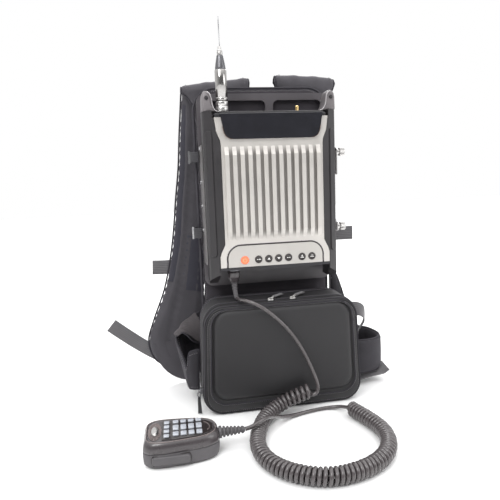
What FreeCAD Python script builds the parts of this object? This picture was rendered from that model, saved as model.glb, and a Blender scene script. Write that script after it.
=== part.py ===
import FreeCAD, Part
import math
import os

# Backpack two way radio: a finned radio unit on a padded carrier, with a zipped
# battery pouch below it and a keypad hand microphone on a curly cord.
# Millimetres.  X is the wearer's width, the front of the radio faces -Y, +Z is up.
# The origin is on the flat underside of the pouch, below the radio's front face.

# radio unit
FACE_Y = 0.0
CASTING_DEPTH = 14.0
CASTING_WALL = 5.0
CASTING_BOTTOM = 242.0
CASTING_TOP = 489.0
CASTING_CAVITY = 80.0
CASTING_HALF_WIDTHS = (
    (242.0, 95.0),
    (260.0, 95.0),
    (268.0, 92.5),
    (281.0, 86.0),
    (445.0, 86.0),
    (452.0, 86.8),
    (466.0, 92.5),
    (489.0, 95.5),
)
FIN_COUNT = 13
FIN_PITCH = 12.92
FIN_WIDTH = 7.0
FIN_HEIGHT = 5.5
FIN_BOTTOM = 287.0
FIN_TOP = 443.0
FIN_RAMP = 15.0
HOUSING_HALF = 98.0
HOUSING_BACK = 62.0
HOUSING_BOTTOM = 237.0
HOUSING_WALL = 4.0
TOP_PLATE_TOP = 496.5
BADGE_FRONT = -4.0
BADGE_BOTTOM = 453.5
BADGE_TOP = 497.0
PANEL_TOP = 278.0
PANEL_HALF = 82.0
PANEL_CORNER = 22.0
PANEL_GROOVE = 3.0
PANEL_DEPTH = 3.0
CLEAR = 0.3

# keys on the control panel
KEY_Z = 253.4
KEY_RADIUS = 6.3
KEY_X = (-30.5, -13.0, 4.2, 21.6, 45.4, 63.0)
POWER_X = -54.0
POWER_RADIUS = 6.8
KEY_FRONT = -2.0
KEY_FLANGE = 1.3
KEY_FLANGE_FRONT = 5.2
KEY_BACK = 6.8
MAT_FRONT = 8.2
BOARD_FRONT = 10.4

# impact bumpers at the radio's sides
BUMPER_OUTER = 113.0
BUMPER_FRONT_OUTER = 16.0
BUMPER_BACK = 50.0
BUMPER_BOTTOM = 214.0
BUMPER_TOP = 500.0
PAD_BOTTOM = 260.0
PAD_TOP = 469.0
EAR_TOP = 533.0

# antenna and connectors
ANTENNA_X = -79.0
ANTENNA_Y = 18.0
GPS_X = 48.0
GPS_RADIUS = 3.175
SOCKET_X = -71.0
SOCKET_Y = 20.0
BOOT_TOP = 214.0
BOOT_BEND = 24.0

# carrier, harness and pouch
CARRIER_HALF = 117.0
CARRIER_FRONT = 66.0
CARRIER_BACK = 74.0
CARRIER_BOTTOM = 200.0
CARRIER_TOP = 537.0
BACK_PAD_HALF = 123.0
BACK_PAD_FRONT = 75.0
BACK_PAD_BACK = 103.0
BACK_PAD_TOP = 549.0
STRAP_FRONT = 103.3
STRAP_BACK = 136.0
STRAP_THICK = 12.0
POUCH_HALF = 139.0
POUCH_TOP = 186.0
POUCH_CORNER = 35.0
POUCH_BACK = 58.0
ZIP_BACK = -20.0
ZIP_FRONT = -24.0
POUCH_FRAME_FRONT = -38.0
POUCH_LID_FRONT = -41.0
POUCH_WALL = 4.0
ZIP_SLIDER_X = (-17.5, 20.5)
PULL_TURN = 42.0
WING_HALF_THICK = 4.5
THUMB_BOLT_Y = 50.0
THUMB_BOLT_Z = (431.0, 297.5)
LASHING_Z = (430.0, 297.0)

# hand microphone: a point on its long axis, its turn about Z and its cord end
MIC_ORIGIN = (-233.0, -136.0, 0.0)
MIC_TURN = -1.5
MIC_LENGTH = 107.0
MIC_SEAM = 22.0
MIC_TOP = 38.0
MIC_KEY_TOP = 39.6
MIC_WINDOW_INSET = 6.5
PTT_START = 13.0
PTT_END = 65.0
PTT_BOTTOM = 7.0
PTT_TOP = 20.0
MIC_BOOT_Z = 26.0

# curly cord: its jacket, its coil's outer size and the points of its route
WIRE = 6.0
COIL = 24.4
LEAD_POINTS = (
    (-71.0, -4.4, 190.0),
    (-69.5, -17.0, 190.5),
    (-66.5, -33.0, 193.0),
    (-59.0, -48.0, 194.0),
    (-46.0, -55.0, 189.0),
    (-29.0, -56.0, 177.0),
    (-8.0, -56.0, 157.0),
    (9.0, -56.0, 137.0),
    (25.0, -56.0, 111.0),
    (37.0, -56.5, 85.0),
    (45.0, -57.5, 64.0),
    (49.5, -59.0, 50.5),
    (50.5, -60.5, 40.0),
    (47.4, -61.0, 31.4),
    (40.8, -61.0, 29.8),
)
COIL_POINTS = (
    (36.5, -61.0, 38.5),
    (11.5, -61.0, 31.5),
    (-18.0, -62.0, 19.5),
    (-44.0, -80.0, 12.4),
    (-62.0, -118.0, 12.4),
    (-74.0, -162.0, 12.4),
    (-71.0, -203.0, 12.4),
    (-47.0, -240.0, 12.4),
    (-2.0, -264.0, 12.4),
    (51.0, -257.0, 12.4),
    (93.0, -231.0, 12.4),
    (116.0, -188.0, 12.4),
    (115.0, -140.0, 12.4),
    (96.0, -88.0, 12.4),
)
TAIL_POINTS = (
    (95.8, -87.4, 12.4),
    (91.0, -73.0, 8.5),
    (79.0, -62.0, 4.5),
    (60.0, -59.0, 3.2),
    (32.0, -64.0, 3.2),
    (7.0, -72.0, 4.0),
    (-17.0, -86.0, 10.0),
    (-34.0, -106.0, 23.0),
    (-50.0, -125.0, 33.0),
    (-65.0, -136.0, 32.5),
    (-76.5, -139.6, 27.6),
    (-86.7, -139.8, 26.0),
)

X = FreeCAD.Vector(1, 0, 0)
Y = FreeCAD.Vector(0, 1, 0)
Z = FreeCAD.Vector(0, 0, 1)


def vec(x, y, z):
    return FreeCAD.Vector(x, y, z)


def box(x0, x1, y0, y1, z0, z1):
    return Part.makeBox(x1 - x0, y1 - y0, z1 - z0, vec(x0, y0, z0))


def cylinder(radius, start, axis, length):
    return Part.makeCylinder(radius, length, vec(*start), axis)


def fuse(shapes):
    result = shapes[0]
    for shape in shapes[1:]:
        result = result.fuse(shape)
    return result.removeSplitter()


def mirrored(shape):
    return shape.mirror(vec(0, 0, 0), X)


def slab_xz(points, y0, y1):
    """Extrude a straight-sided outline given as (x, z) points from y0 to y1."""
    corners = [vec(x, y0, z) for x, z in points]
    face = Part.Face(Part.makePolygon(corners + corners[:1]))
    return face.extrude(Y * (y1 - y0))


def slab_xy(points, z0, z1):
    """Extrude a straight-sided outline given as (x, y) points from z0 to z1."""
    corners = [vec(x, y, z0) for x, y in points]
    face = Part.Face(Part.makePolygon(corners + corners[:1]))
    return face.extrude(Z * (z1 - z0))


def slab_yz(points, x0, x1):
    """Extrude a straight-sided outline given as (y, z) points from x0 to x1."""
    corners = [vec(x0, y, z) for y, z in points]
    face = Part.Face(Part.makePolygon(corners + corners[:1]))
    return face.extrude(X * (x1 - x0))


def curved_slab_xz(points, y0, y1):
    """Extrude a smooth closed outline given as (x, z) points from y0 to y1."""
    curve = Part.BSplineCurve()
    curve.interpolate([vec(x, y0, z) for x, z in points], PeriodicFlag=True)
    return Part.Face(Part.Wire(curve.toShape())).extrude(Y * (y1 - y0))


def rounded_wire(half, z0, z1, corner, y):
    """A rectangle with four rounded corners, centred on x = 0, in the plane at y."""
    width = half - corner
    arcs = (
        (width, z1 - corner, 0),
        (-width, z1 - corner, 90),
        (-width, z0 + corner, 180),
        (width, z0 + corner, 270),
    )
    edges = []
    ends = []
    for x, z, start in arcs:
        points = []
        for angle in (start, start + 45, start + 90):
            a = math.radians(angle)
            points.append(vec(x + corner * math.cos(a), y, z + corner * math.sin(a)))
        edges.append(Part.Arc(*points).toShape())
        ends.append((points[0], points[2]))
    for i in range(4):
        edges.append(Part.LineSegment(ends[i][1], ends[(i + 1) % 4][0]).toShape())
    return Part.Wire(Part.__sortEdges__(edges))


def rounded_slab(half, z0, z1, corner, y0, y1):
    face = Part.Face(rounded_wire(half, z0, z1, corner, y0))
    return face.extrude(Y * (y1 - y0))


def casting_outline(growth):
    """The casting's waisted outline, grown sideways by growth."""
    right = [(half + growth, z) for z, half in CASTING_HALF_WIDTHS]
    left = [(-half - growth, z) for z, half in reversed(CASTING_HALF_WIDTHS)]
    return right + left


def panel_slab(growth, y0, y1):
    """The control panel's shape: square below, with two rounded upper corners."""
    half = PANEL_HALF + growth
    top = PANEL_TOP + growth
    tall = rounded_slab(half, CASTING_BOTTOM - 60, top, PANEL_CORNER + growth, y0, y1)
    return tall.common(box(-half, half, y0, y1, CASTING_BOTTOM, top))


def key_places():
    return [(POWER_X, POWER_RADIUS)] + [(x, KEY_RADIUS) for x in KEY_X]


def key_holes(growth, y0, y1):
    holes = []
    for x, radius in key_places():
        holes.append(cylinder(radius + growth, (x, y0, KEY_Z), Y, y1 - y0))
    return Part.makeCompound(holes)


def screw_places():
    return [(x, z) for x in (-86.0, 86.0) for z in (253.0, 478.0)]


def make_fin(x):
    profile = (
        (0.5, FIN_BOTTOM),
        (-FIN_HEIGHT, FIN_BOTTOM + FIN_RAMP),
        (-FIN_HEIGHT, FIN_TOP - FIN_RAMP),
        (0.5, FIN_TOP),
    )
    return slab_yz(profile, x - FIN_WIDTH / 2, x + FIN_WIDTH / 2)


def make_front_casting():
    body = slab_xz(casting_outline(0), FACE_Y, CASTING_DEPTH)
    cavity = box(-CASTING_CAVITY, CASTING_CAVITY, CASTING_WALL, CASTING_DEPTH + 1, 245, 484)
    body = body.cut(cavity)
    body = body.cut(panel_slab(PANEL_GROOVE, FACE_Y - 1, PANEL_DEPTH))
    body = body.cut(key_holes(CLEAR, FACE_Y, CASTING_WALL + 1))
    for x, z in screw_places():
        body = body.cut(cylinder(2.05, (x, 6, z), Y, 10))
    first = -FIN_PITCH * (FIN_COUNT - 1) / 2
    fins = [make_fin(first + i * FIN_PITCH) for i in range(FIN_COUNT)]
    return fuse([body] + fins)


def make_badge_panel():
    """Gloss panel over the top of the casting, turned back over its upper edge."""
    outline = (
        (-86.5, BADGE_TOP),
        (86.5, BADGE_TOP),
        (82.0, 473.0),
        (80.0, 464.0),
        (76.5, 458.0),
        (71.0, 454.5),
        (64.0, BADGE_BOTTOM),
        (-64.0, BADGE_BOTTOM),
        (-71.0, 454.5),
        (-76.5, 458.0),
        (-80.0, 464.0),
        (-82.0, 473.0),
    )
    plate = slab_xz(outline, BADGE_FRONT, FACE_Y)
    bevel = slab_yz(((BADGE_FRONT, 494.0), (BADGE_FRONT, 498.0), (-1.0, 498.0)), -90, 90)
    lip = box(-86.0, 86.0, FACE_Y, 5.5, CASTING_TOP, BADGE_TOP)
    return fuse([plate.cut(bevel), lip])


def make_control_panel():
    panel = panel_slab(0, FACE_Y - 0.4, PANEL_DEPTH)
    return panel.cut(key_holes(CLEAR, FACE_Y - 1, PANEL_DEPTH + 1))


def make_key(x, radius):
    cap = cylinder(radius, (x, KEY_FRONT, KEY_Z), Y, KEY_BACK - KEY_FRONT)
    cap = cap.makeFillet(0.9, [cap.Edges[i] for i in (0, 2) if cap.Edges[i].CenterOfMass.y < 0])
    depth = KEY_BACK - KEY_FLANGE_FRONT
    flange = cylinder(radius + KEY_FLANGE, (x, KEY_FLANGE_FRONT, KEY_Z), Y, depth)
    return fuse([cap, flange])


def make_button_mat():
    """Rubber sheet with one dome behind each key."""
    sheet = box(-66, 74, MAT_FRONT + 0.8, BOARD_FRONT, 247, 261)
    domes = [cylinder(3.0, (x, MAT_FRONT, KEY_Z), Y, 1.2) for x, radius in key_places()]
    return fuse([sheet] + domes)


def make_main_board():
    board = box(-76, 76, BOARD_FRONT, BOARD_FRONT + 1.6, 248, 480)
    chips = []
    for x, z, size in ((-40, 330, 26), (10, 320, 32), (48, 380, 20), (-30, 410, 30)):
        chips.append(box(x - size / 2, x + size / 2, 12, 14.2, z - size / 2, z + size / 2))
    return fuse([board] + chips)


def make_duplexer():
    """Cavity filter block with its row of tuning screws."""
    block = box(-68, 68, 22, 54, 300, 462)
    screws = []
    for x in (-51, -17, 17, 51):
        for z in (330, 381, 432):
            screws.append(cylinder(4.0, (x, 18.5, z), Y, 4))
    return fuse([block] + screws)


def make_rear_housing():
    outer = rounded_slab(HOUSING_HALF, HOUSING_BOTTOM, CASTING_TOP, 6, CASTING_DEPTH, HOUSING_BACK)
    inner = box(-94, 94, CASTING_DEPTH - 1, HOUSING_BACK - HOUSING_WALL, 243, 485)
    body = outer.cut(inner)
    posts = []
    for x, z in screw_places():
        posts.append(cylinder(9, (x, CASTING_DEPTH, z), Y, 45))
    lip = box(-95, 95, 1.5, CASTING_DEPTH, HOUSING_BOTTOM, CASTING_BOTTOM - CLEAR)
    body = fuse([body, lip] + posts)
    for x, z in screw_places():
        body = body.cut(cylinder(2.3, (x, 10, z), Y, 60))
        body = body.cut(cylinder(4.6, (x, HOUSING_BACK - 5, z), Y, 6))
    body = body.cut(cylinder(8.2, (SOCKET_X, SOCKET_Y, HOUSING_BOTTOM - 1), Z, 10))
    return body


def make_casing_screws():
    screws = []
    for x, z in screw_places():
        shank = cylinder(2.0, (x, 8, z), Y, HOUSING_BACK - 5 - 8)
        head = cylinder(4.0, (x, HOUSING_BACK - 5, z), Y, 4)
        socket = cylinder(1.6, (x, HOUSING_BACK - 3, z), Y, 3)
        screws.append(fuse([shank, head]).cut(socket))
    return Part.makeCompound(screws)


def make_top_plate():
    plate = box(-94, 94, 6, HOUSING_BACK, CASTING_TOP, TOP_PLATE_TOP)
    plate = plate.makeFillet(3, [e for e in plate.Edges if e.CenterOfMass.z > TOP_PLATE_TOP - 0.1])
    plate = plate.cut(cylinder(5.1, (ANTENNA_X, ANTENNA_Y, CASTING_TOP - 1), Z, 12))
    return plate.cut(cylinder(4.1, (GPS_X, ANTENNA_Y, CASTING_TOP - 1), Z, 12))


def make_bumper():
    """Right bumper: its front face falls back from the casting's edge to the side."""
    section = (
        (84.0, 0.6),
        (98.0, 3.4),
        (BUMPER_OUTER - 2, BUMPER_FRONT_OUTER - 3),
        (BUMPER_OUTER, BUMPER_FRONT_OUTER),
        (BUMPER_OUTER, BUMPER_BACK - 3),
        (BUMPER_OUTER - 3, BUMPER_BACK),
        (HOUSING_HALF + CLEAR, BUMPER_BACK),
        (HOUSING_HALF + CLEAR, CASTING_DEPTH),
        (84.0, CASTING_DEPTH),
    )
    body = slab_xy(section, BUMPER_BOTTOM, BUMPER_TOP)
    body = body.cut(slab_xz(casting_outline(CLEAR), -1, CASTING_DEPTH + 1))
    body = body.cut(box(80, 96.0, -1, CASTING_DEPTH + 1, BUMPER_BOTTOM - 1, CASTING_BOTTOM))
    body = body.cut(box(80, HOUSING_HALF + CLEAR, -1, CASTING_DEPTH + 1, CASTING_TOP, BUMPER_TOP + 1))
    foot = slab_yz(((0, BUMPER_BOTTOM), (22, BUMPER_BOTTOM), (0, 232)), 80, 120)
    return body.cut(foot)


def make_grip_pad():
    """Right grip: a long rounded pad standing on the bumper's sloping face."""
    run = 13.0
    rise = 9.6
    slope = math.degrees(math.atan2(rise, run))
    length = PAD_TOP - PAD_BOTTOM
    pad = rounded_slab(6.4, PAD_BOTTOM, PAD_BOTTOM + length, 6.3, -2.2, -0.05)
    pad = pad.makeChamfer(0.8, [e for e in pad.Edges if abs(e.CenterOfMass.y + 2.2) < 0.01])
    pad.rotate(vec(0, 0, 0), Z, slope)
    pad.translate(vec(98.0 + run / 2, 3.4 + rise / 2, 0))
    return pad


def make_ear():
    """Right guard horn above the bumper, flaring inward to the top plate."""
    outline = (
        (BUMPER_OUTER, BUMPER_TOP + 0.2),
        (BUMPER_OUTER, 522.0),
        (111.0, 529.5),
        (107.0, EAR_TOP),
        (102.0, EAR_TOP),
        (98.5, 529.5),
        (97.0, 522.0),
        (95.6, 508.0),
        (92.5, 500.5),
        (87.5, TOP_PLATE_TOP + CLEAR),
        (HOUSING_HALF, TOP_PLATE_TOP + CLEAR),
        (HOUSING_HALF, BUMPER_TOP + 0.2),
    )
    return slab_xz(outline, 10, 44)


def make_antenna_connector():
    flange = cylinder(7.5, (ANTENNA_X, ANTENNA_Y, TOP_PLATE_TOP), Z, 2.0)
    stem = cylinder(5.0, (ANTENNA_X, ANTENNA_Y, CASTING_TOP), Z, 21)
    return fuse([stem, flange])


def make_antenna_nut():
    body = cylinder(8.4, (ANTENNA_X, ANTENNA_Y, TOP_PLATE_TOP + 2.2), Z, 17.8)
    ring = cylinder(9.0, (ANTENNA_X, ANTENNA_Y, 512.0), Z, 3.5)
    bore = cylinder(5.3, (ANTENNA_X, ANTENNA_Y, TOP_PLATE_TOP), Z, 14.5)
    return fuse([body, ring]).cut(bore)


def make_antenna_body():
    return cylinder(9.8, (ANTENNA_X, ANTENNA_Y, 516.5), Z, 49.5)


def make_antenna_cone():
    base = vec(ANTENNA_X, ANTENNA_Y, 566.0)
    cone = Part.makeCone(8.6, 5.4, 21.0, base, Z)
    return fuse([cone, cylinder(5.4, (ANTENNA_X, ANTENNA_Y, 587.0), Z, 1.5)])


def make_antenna_bushing():
    return fuse([
        cylinder(4.6, (ANTENNA_X, ANTENNA_Y, 588.5), Z, 9.0),
        cylinder(2.6, (ANTENNA_X, ANTENNA_Y, 597.5), Z, 5.5),
    ])


def make_antenna_whip():
    return cylinder(0.9, (ANTENNA_X, ANTENNA_Y, 603.0), Z, 47.0)


def make_gps_connector():
    base = cylinder(4.0, (GPS_X, ANTENNA_Y, CASTING_TOP), Z, 8)
    nut = cylinder(4.8, (GPS_X, ANTENNA_Y, TOP_PLATE_TOP), Z, 1.5)
    barrel = cylinder(GPS_RADIUS, (GPS_X, ANTENNA_Y, TOP_PLATE_TOP + 1), Z, 10.5)
    return fuse([base, nut, barrel])


def make_mic_socket():
    collar = cylinder(8.0, (SOCKET_X, SOCKET_Y, HOUSING_BOTTOM - 3), Z, 7.8)
    flange = cylinder(11.0, (SOCKET_X, SOCKET_Y, HOUSING_BOTTOM - 3), Z, 3)
    return fuse([collar, flange])


def make_side_bracket():
    """Right angle bracket from the carrier plate along the radio's side."""
    leg = box(113.5, 116.0, 33, CARRIER_FRONT, 244, 448)
    flange = box(99.5, 116.0, 62.5, CARRIER_FRONT, 244, 448)
    return fuse([leg, flange])


def bracket_screw_heights():
    return (443.0, 386.0, 345.0, 303.0)


def make_bracket_screws():
    screws = []
    for side in (-1, 1):
        for z in bracket_screw_heights():
            screws.append(cylinder(3.2, (side * 116.0, 57.0, z), X * side, 2.0))
    return Part.makeCompound(screws)


def make_bolt_plates():
    """Folded plates that stand the two thumb bolts off the right bracket."""
    plates = []
    for bottom, top in ((391, 433), (289, 306)):
        web = box(124.0, 126.5, 42, 58, bottom, top)
        leg = box(116.0, 126.5, 42, 58, bottom, bottom + 2.5)
        plates.append(fuse([web, leg]))
    return Part.makeCompound(plates)


def make_thumb_bolts():
    bolts = []
    for z in THUMB_BOLT_Z:
        washer = cylinder(7.5, (126.5, THUMB_BOLT_Y, z), X, 3.0)
        neck = cylinder(4.0, (129.5, THUMB_BOLT_Y, z), X, 3.0)
        head = cylinder(7.5, (132.5, THUMB_BOLT_Y, z), X, 9.8)
        bolts.append(fuse([washer, neck, head]))
    return Part.makeCompound(bolts)


def make_carrier_plate():
    plate = rounded_slab(CARRIER_HALF, CARRIER_BOTTOM, CARRIER_TOP, 14, CARRIER_FRONT, CARRIER_BACK)
    for centre, half in ((-46.0, 50.0), (62.0, 44.0)):
        window = rounded_slab(half, 500, 525, 9, CARRIER_FRONT - 1, CARRIER_BACK + 1)
        window.translate(vec(centre, 0, 0))
        plate = plate.cut(window)
    return plate


def make_back_pad():
    return rounded_slab(BACK_PAD_HALF, 0, BACK_PAD_TOP, 40, BACK_PAD_FRONT, BACK_PAD_BACK)


def strap_top(x0, x1, crest):
    """The strap's fold over the top of the pad, from the pad's back to its rear run."""
    middle = (STRAP_FRONT + STRAP_BACK) / 2
    outer = (STRAP_BACK - STRAP_FRONT) / 2
    centre = crest - outer
    ring = cylinder(outer, (x0, middle, centre), X, x1 - x0)
    ring = ring.cut(cylinder(outer - STRAP_THICK, (x0 - 1, middle, centre), X, x1 - x0 + 2))
    ring = ring.cut(box(x0 - 1, x1 + 1, 90, 150, centre - 30, centre))
    root = box(x0 + 20, x1 - 20, STRAP_FRONT, STRAP_FRONT + STRAP_THICK, 470, centre)
    return fuse([ring, root])


def make_shoulder_strap_left():
    outline = (
        (-22.0, 561.0),
        (-80.0, 564.0),
        (-138.0, 561.0),
        (-147.0, 470.0),
        (-158.0, 370.0),
        (-175.0, 250.0),
        (-217.0, 125.0),
        (-227.0, 84.0),
        (-213.0, 45.0),
        (-165.0, 20.0),
        (-118.0, 10.0),
        (-91.0, 22.0),
        (-92.0, 50.0),
        (-117.0, 86.0),
        (-118.0, 150.0),
        (-106.0, 245.0),
        (-92.0, 356.0),
        (-74.0, 470.0),
        (-50.0, 515.0),
    )
    run = curved_slab_xz(outline, STRAP_BACK - STRAP_THICK, STRAP_BACK)
    anchor = box(-116, -94, STRAP_FRONT, STRAP_BACK - STRAP_THICK + 1, 26, 50)
    return fuse([run, anchor, strap_top(-139, -16, 577)])


def make_shoulder_strap_right():
    outline = (
        (38.0, 568.0),
        (92.0, 571.0),
        (148.0, 568.0),
        (146.0, 470.0),
        (133.0, 356.0),
        (128.0, 245.0),
        (130.0, 122.0),
        (129.0, 66.0),
        (120.0, 30.0),
        (92.0, 30.0),
        (64.0, 66.0),
        (56.0, 122.0),
        (52.0, 245.0),
        (56.0, 356.0),
        (62.0, 470.0),
        (50.0, 515.0),
    )
    run = curved_slab_xz(outline, STRAP_BACK - STRAP_THICK, STRAP_BACK)
    anchor = box(88, 120, STRAP_FRONT, STRAP_BACK - STRAP_THICK + 1, 34, 60)
    return fuse([run, anchor, strap_top(35, 149, 584)])


def make_lashings():
    """Webbing that ties the carrier's side to the pad, two on each side."""
    section = (
        (117.8, 60.0),
        (119.6, 59.0),
        (132.5, 72.0),
        (132.5, 90.0),
        (125.0, 101.0),
        (123.6, 100.0),
        (130.7, 89.4),
        (130.7, 72.8),
    )
    straps = []
    for z in LASHING_Z:
        strap = slab_xy(section, z - 9, z + 9)
        straps.extend([strap, mirrored(strap)])
    return straps


def make_ladder_locks():
    """Flat metal buckles on the lashings."""
    locks = []
    for z in LASHING_Z:
        lock = box(132.8, 135.3, 74, 90, z - 11, z + 11)
        for y in (77, 84):
            lock = lock.cut(box(132, 136, y, y + 3, z - 9, z + 9))
        locks.extend([lock, mirrored(lock)])
    return Part.makeCompound(locks)


def make_chest_straps():
    """Chest strap ends sewn across the back of each shoulder strap."""
    left = box(-212, -150, 136.3, 138.8, 214.5, 243)
    right = box(100, 191.5, 136.3, 138.8, 260.5, 287.5)
    return [left, right]


def make_webbing_tail():
    """Loose webbing end at the left, rising away from the shoulder strap."""
    outline = ((-200, 46), (-216, 46), (-304, 113), (-285, 131), (-229, 85), (-192, 58))
    return slab_xz(outline, 136.3, 138.8)


def make_harness_webbing():
    return Part.makeCompound(make_lashings() + make_chest_straps() + [make_webbing_tail()])


# hip wings: points on the lower and the upper edge, from the pad round to the front
RIGHT_WING = (
    ((127.0, 92.0, 28.0), (127.0, 92.0, 206.0)),
    ((138.0, 93.0, 26.0), (138.0, 93.0, 202.0)),
    ((150.0, 93.0, 25.0), (150.0, 93.0, 170.0)),
    ((163.0, 92.0, 24.0), (163.0, 92.0, 126.0)),
    ((178.0, 89.0, 23.0), (178.0, 89.0, 96.0)),
    ((196.0, 79.0, 22.0), (197.0, 79.0, 91.0)),
    ((207.0, 61.0, 22.0), (208.0, 61.0, 87.0)),
    ((204.0, 42.0, 23.0), (205.0, 42.0, 86.0)),
    ((188.0, 27.0, 24.0), (188.0, 27.0, 86.0)),
    ((167.0, 20.0, 25.0), (167.0, 20.0, 87.0)),
    ((147.0, 18.0, 26.0), (147.0, 18.0, 88.0)),
)
LEFT_WING = (
    ((-127.0, 92.0, 32.0), (-127.0, 92.0, 148.0)),
    ((-142.0, 91.0, 30.0), (-148.0, 90.0, 141.0)),
    ((-154.0, 82.0, 29.0), (-165.0, 78.0, 131.0)),
    ((-160.0, 66.0, 28.0), (-175.5, 64.0, 120.0)),
    ((-161.0, 52.0, 28.0), (-174.0, 51.0, 103.0)),
    ((-160.0, 41.0, 28.0), (-167.5, 41.0, 87.0)),
    ((-158.0, 31.0, 28.0), (-162.5, 32.0, 72.0)),
    ((-155.0, 24.0, 28.0), (-160.0, 24.0, 64.0)),
    ((-151.0, 20.0, 28.0), (-155.5, 19.5, 93.0)),
    ((-144.5, 18.0, 28.0), (-144.5, 17.0, 99.0)),
)


def make_wing(stations):
    """Hip wing: a padded belt panel that leaves the pad and curls round to the front."""
    sections = []
    for i, (low, high) in enumerate(stations):
        before = stations[max(i - 1, 0)][0]
        after = stations[min(i + 1, len(stations) - 1)][0]
        across = vec(before[1] - after[1], after[0] - before[0], 0).normalize() * WING_HALF_THICK
        corners = [vec(*low) + across, vec(*high) + across, vec(*high) - across, vec(*low) - across]
        sections.append(Part.makePolygon(corners + corners[:1]))
    return Part.makeLoft(sections, True, True)


def make_pouch_front_shell():
    back = rounded_wire(POUCH_HALF, 0, POUCH_TOP, POUCH_CORNER, ZIP_FRONT)
    front = rounded_wire(POUCH_HALF - 7, 7, POUCH_TOP - 4, 32, POUCH_FRAME_FRONT)
    frame = Part.makeLoft([back, front], True, True)
    trench = rounded_slab(125, 24, POUCH_TOP - 6.5, 26, POUCH_FRAME_FRONT - 1, POUCH_FRAME_FRONT + 3)
    lid = rounded_slab(122, 27, POUCH_TOP - 9.5, 24, POUCH_LID_FRONT, POUCH_FRAME_FRONT + 3.5)
    lid = lid.makeFillet(2.5, [e for e in lid.Edges if abs(e.CenterOfMass.y - POUCH_LID_FRONT) < 0.01])
    cavity = rounded_slab(118, 22, POUCH_TOP - 22, 22, POUCH_FRAME_FRONT + 7, ZIP_FRONT + 1)
    return fuse([frame.cut(trench), lid]).cut(cavity)


def make_pouch_back_shell():
    outer = rounded_slab(POUCH_HALF, 0, POUCH_TOP, POUCH_CORNER, ZIP_BACK, POUCH_BACK)
    inner = rounded_slab(
        POUCH_HALF - POUCH_WALL, POUCH_WALL, POUCH_TOP - POUCH_WALL,
        POUCH_CORNER - POUCH_WALL, ZIP_BACK - 1, POUCH_BACK - POUCH_WALL)
    return outer.cut(inner)


def make_zip_chain():
    outer = rounded_slab(POUCH_HALF, 0, POUCH_TOP, POUCH_CORNER, ZIP_FRONT, ZIP_BACK)
    inner = rounded_slab(
        POUCH_HALF - 6, 6, POUCH_TOP - 6, POUCH_CORNER - 6, ZIP_FRONT - 1, ZIP_BACK + 1)
    return outer.cut(inner)


def make_battery_pack():
    pack = box(-105, 105, -14, 44, 6, 150)
    return pack.makeFillet(5, [e for e in pack.Edges if abs(e.CenterOfMass.y - 15) < 1])


def make_zip_slider(x):
    body = box(x - 6, x + 6, -26.5, -17.5, POUCH_TOP + 0.2, POUCH_TOP + 2.8)
    bridge = box(x - 1.5, x + 3.0, -24.5, -19.5, POUCH_TOP + 2.8, POUCH_TOP + 4.2)
    return fuse([body, bridge])


def make_zip_pull(x):
    """Ring and fabric tab that lies back over the pouch from its slider."""
    pull = box(0.5, 30, -3.5, 3.5, 0, 2.0)
    pull.rotate(vec(0, 0, 0), Z, PULL_TURN)
    pull.translate(vec(x + 3.5, -18.5, POUCH_TOP + 3.2))
    return pull


def make_side_pull():
    """Hanging pull of the second zip, low on the pouch's left side."""
    return box(-148.0, -141.0, -23.2, -20.4, 1.5, 40)


def mic_outline():
    return (
        (0.0, 27.0),
        (4.0, 34.5),
        (14.0, 38.0),
        (30.0, 38.5),
        (60.0, 36.0),
        (84.0, 32.5),
        (99.0, 26.0),
        (MIC_LENGTH, 15.0),
    )


def mic_slab(inset, z0, z1):
    """A horizontal slice of the microphone: its plan outline pulled in by inset."""
    upper = []
    for u, v in mic_outline():
        scale = (MIC_LENGTH - 2 * inset) / MIC_LENGTH
        upper.append((inset + u * scale, v - inset))
    return slab_xy(upper + [(u, -v) for u, v in reversed(upper)], z0, z1)


def place_mic(shape):
    shape.rotate(vec(0, 0, 0), Z, MIC_TURN)
    shape.translate(vec(*MIC_ORIGIN))
    return shape


def mic_window(inset, z0, z1):
    """The front cover's opening for the keys, square at the speaker end."""
    end = box(26.0 + inset, MIC_LENGTH, -28.0 + inset, 28.0 - inset, z0, z1)
    return mic_slab(MIC_WINDOW_INSET + inset, z0, z1).common(end)


def ptt_pad(growth, v0, v1):
    """The talk button's shape, grown by growth: a bar with four rounded corners."""
    bar = box(PTT_START - growth, PTT_END + growth, v0, v1, PTT_BOTTOM - growth, PTT_TOP + growth)
    corners = [e for e in bar.Edges if max(e.BoundBox.XLength, e.BoundBox.ZLength) < 0.01]
    return bar.makeFillet(4.0, corners)


def make_mic_rear_cover():
    foot = mic_slab(5.0, 0, 2.5)
    lower = mic_slab(2.0, 2.5, 6)
    upper = mic_slab(0, 6, MIC_SEAM)
    body = fuse([foot, lower, upper]).cut(mic_slab(4.5, 6.5, MIC_SEAM + 1))
    body = body.cut(ptt_pad(CLEAR, -44, -31))
    body = body.cut(cylinder(6.6, (90, 0, MIC_BOOT_Z), X, 20))
    return place_mic(body)


def make_mic_front_cover():
    lower = mic_slab(0, MIC_SEAM + CLEAR, MIC_TOP - 7)
    middle = mic_slab(2.5, MIC_TOP - 7, MIC_TOP - 3)
    upper = mic_slab(5.0, MIC_TOP - 3, MIC_TOP)
    body = fuse([lower, middle, upper]).cut(mic_slab(6.5, MIC_SEAM, MIC_TOP - 5))
    body = body.cut(mic_window(0, MIC_TOP - 6, MIC_TOP + 1))
    body = body.cut(cylinder(6.6, (90, 0, MIC_BOOT_Z), X, 20))
    return place_mic(body)


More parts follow.
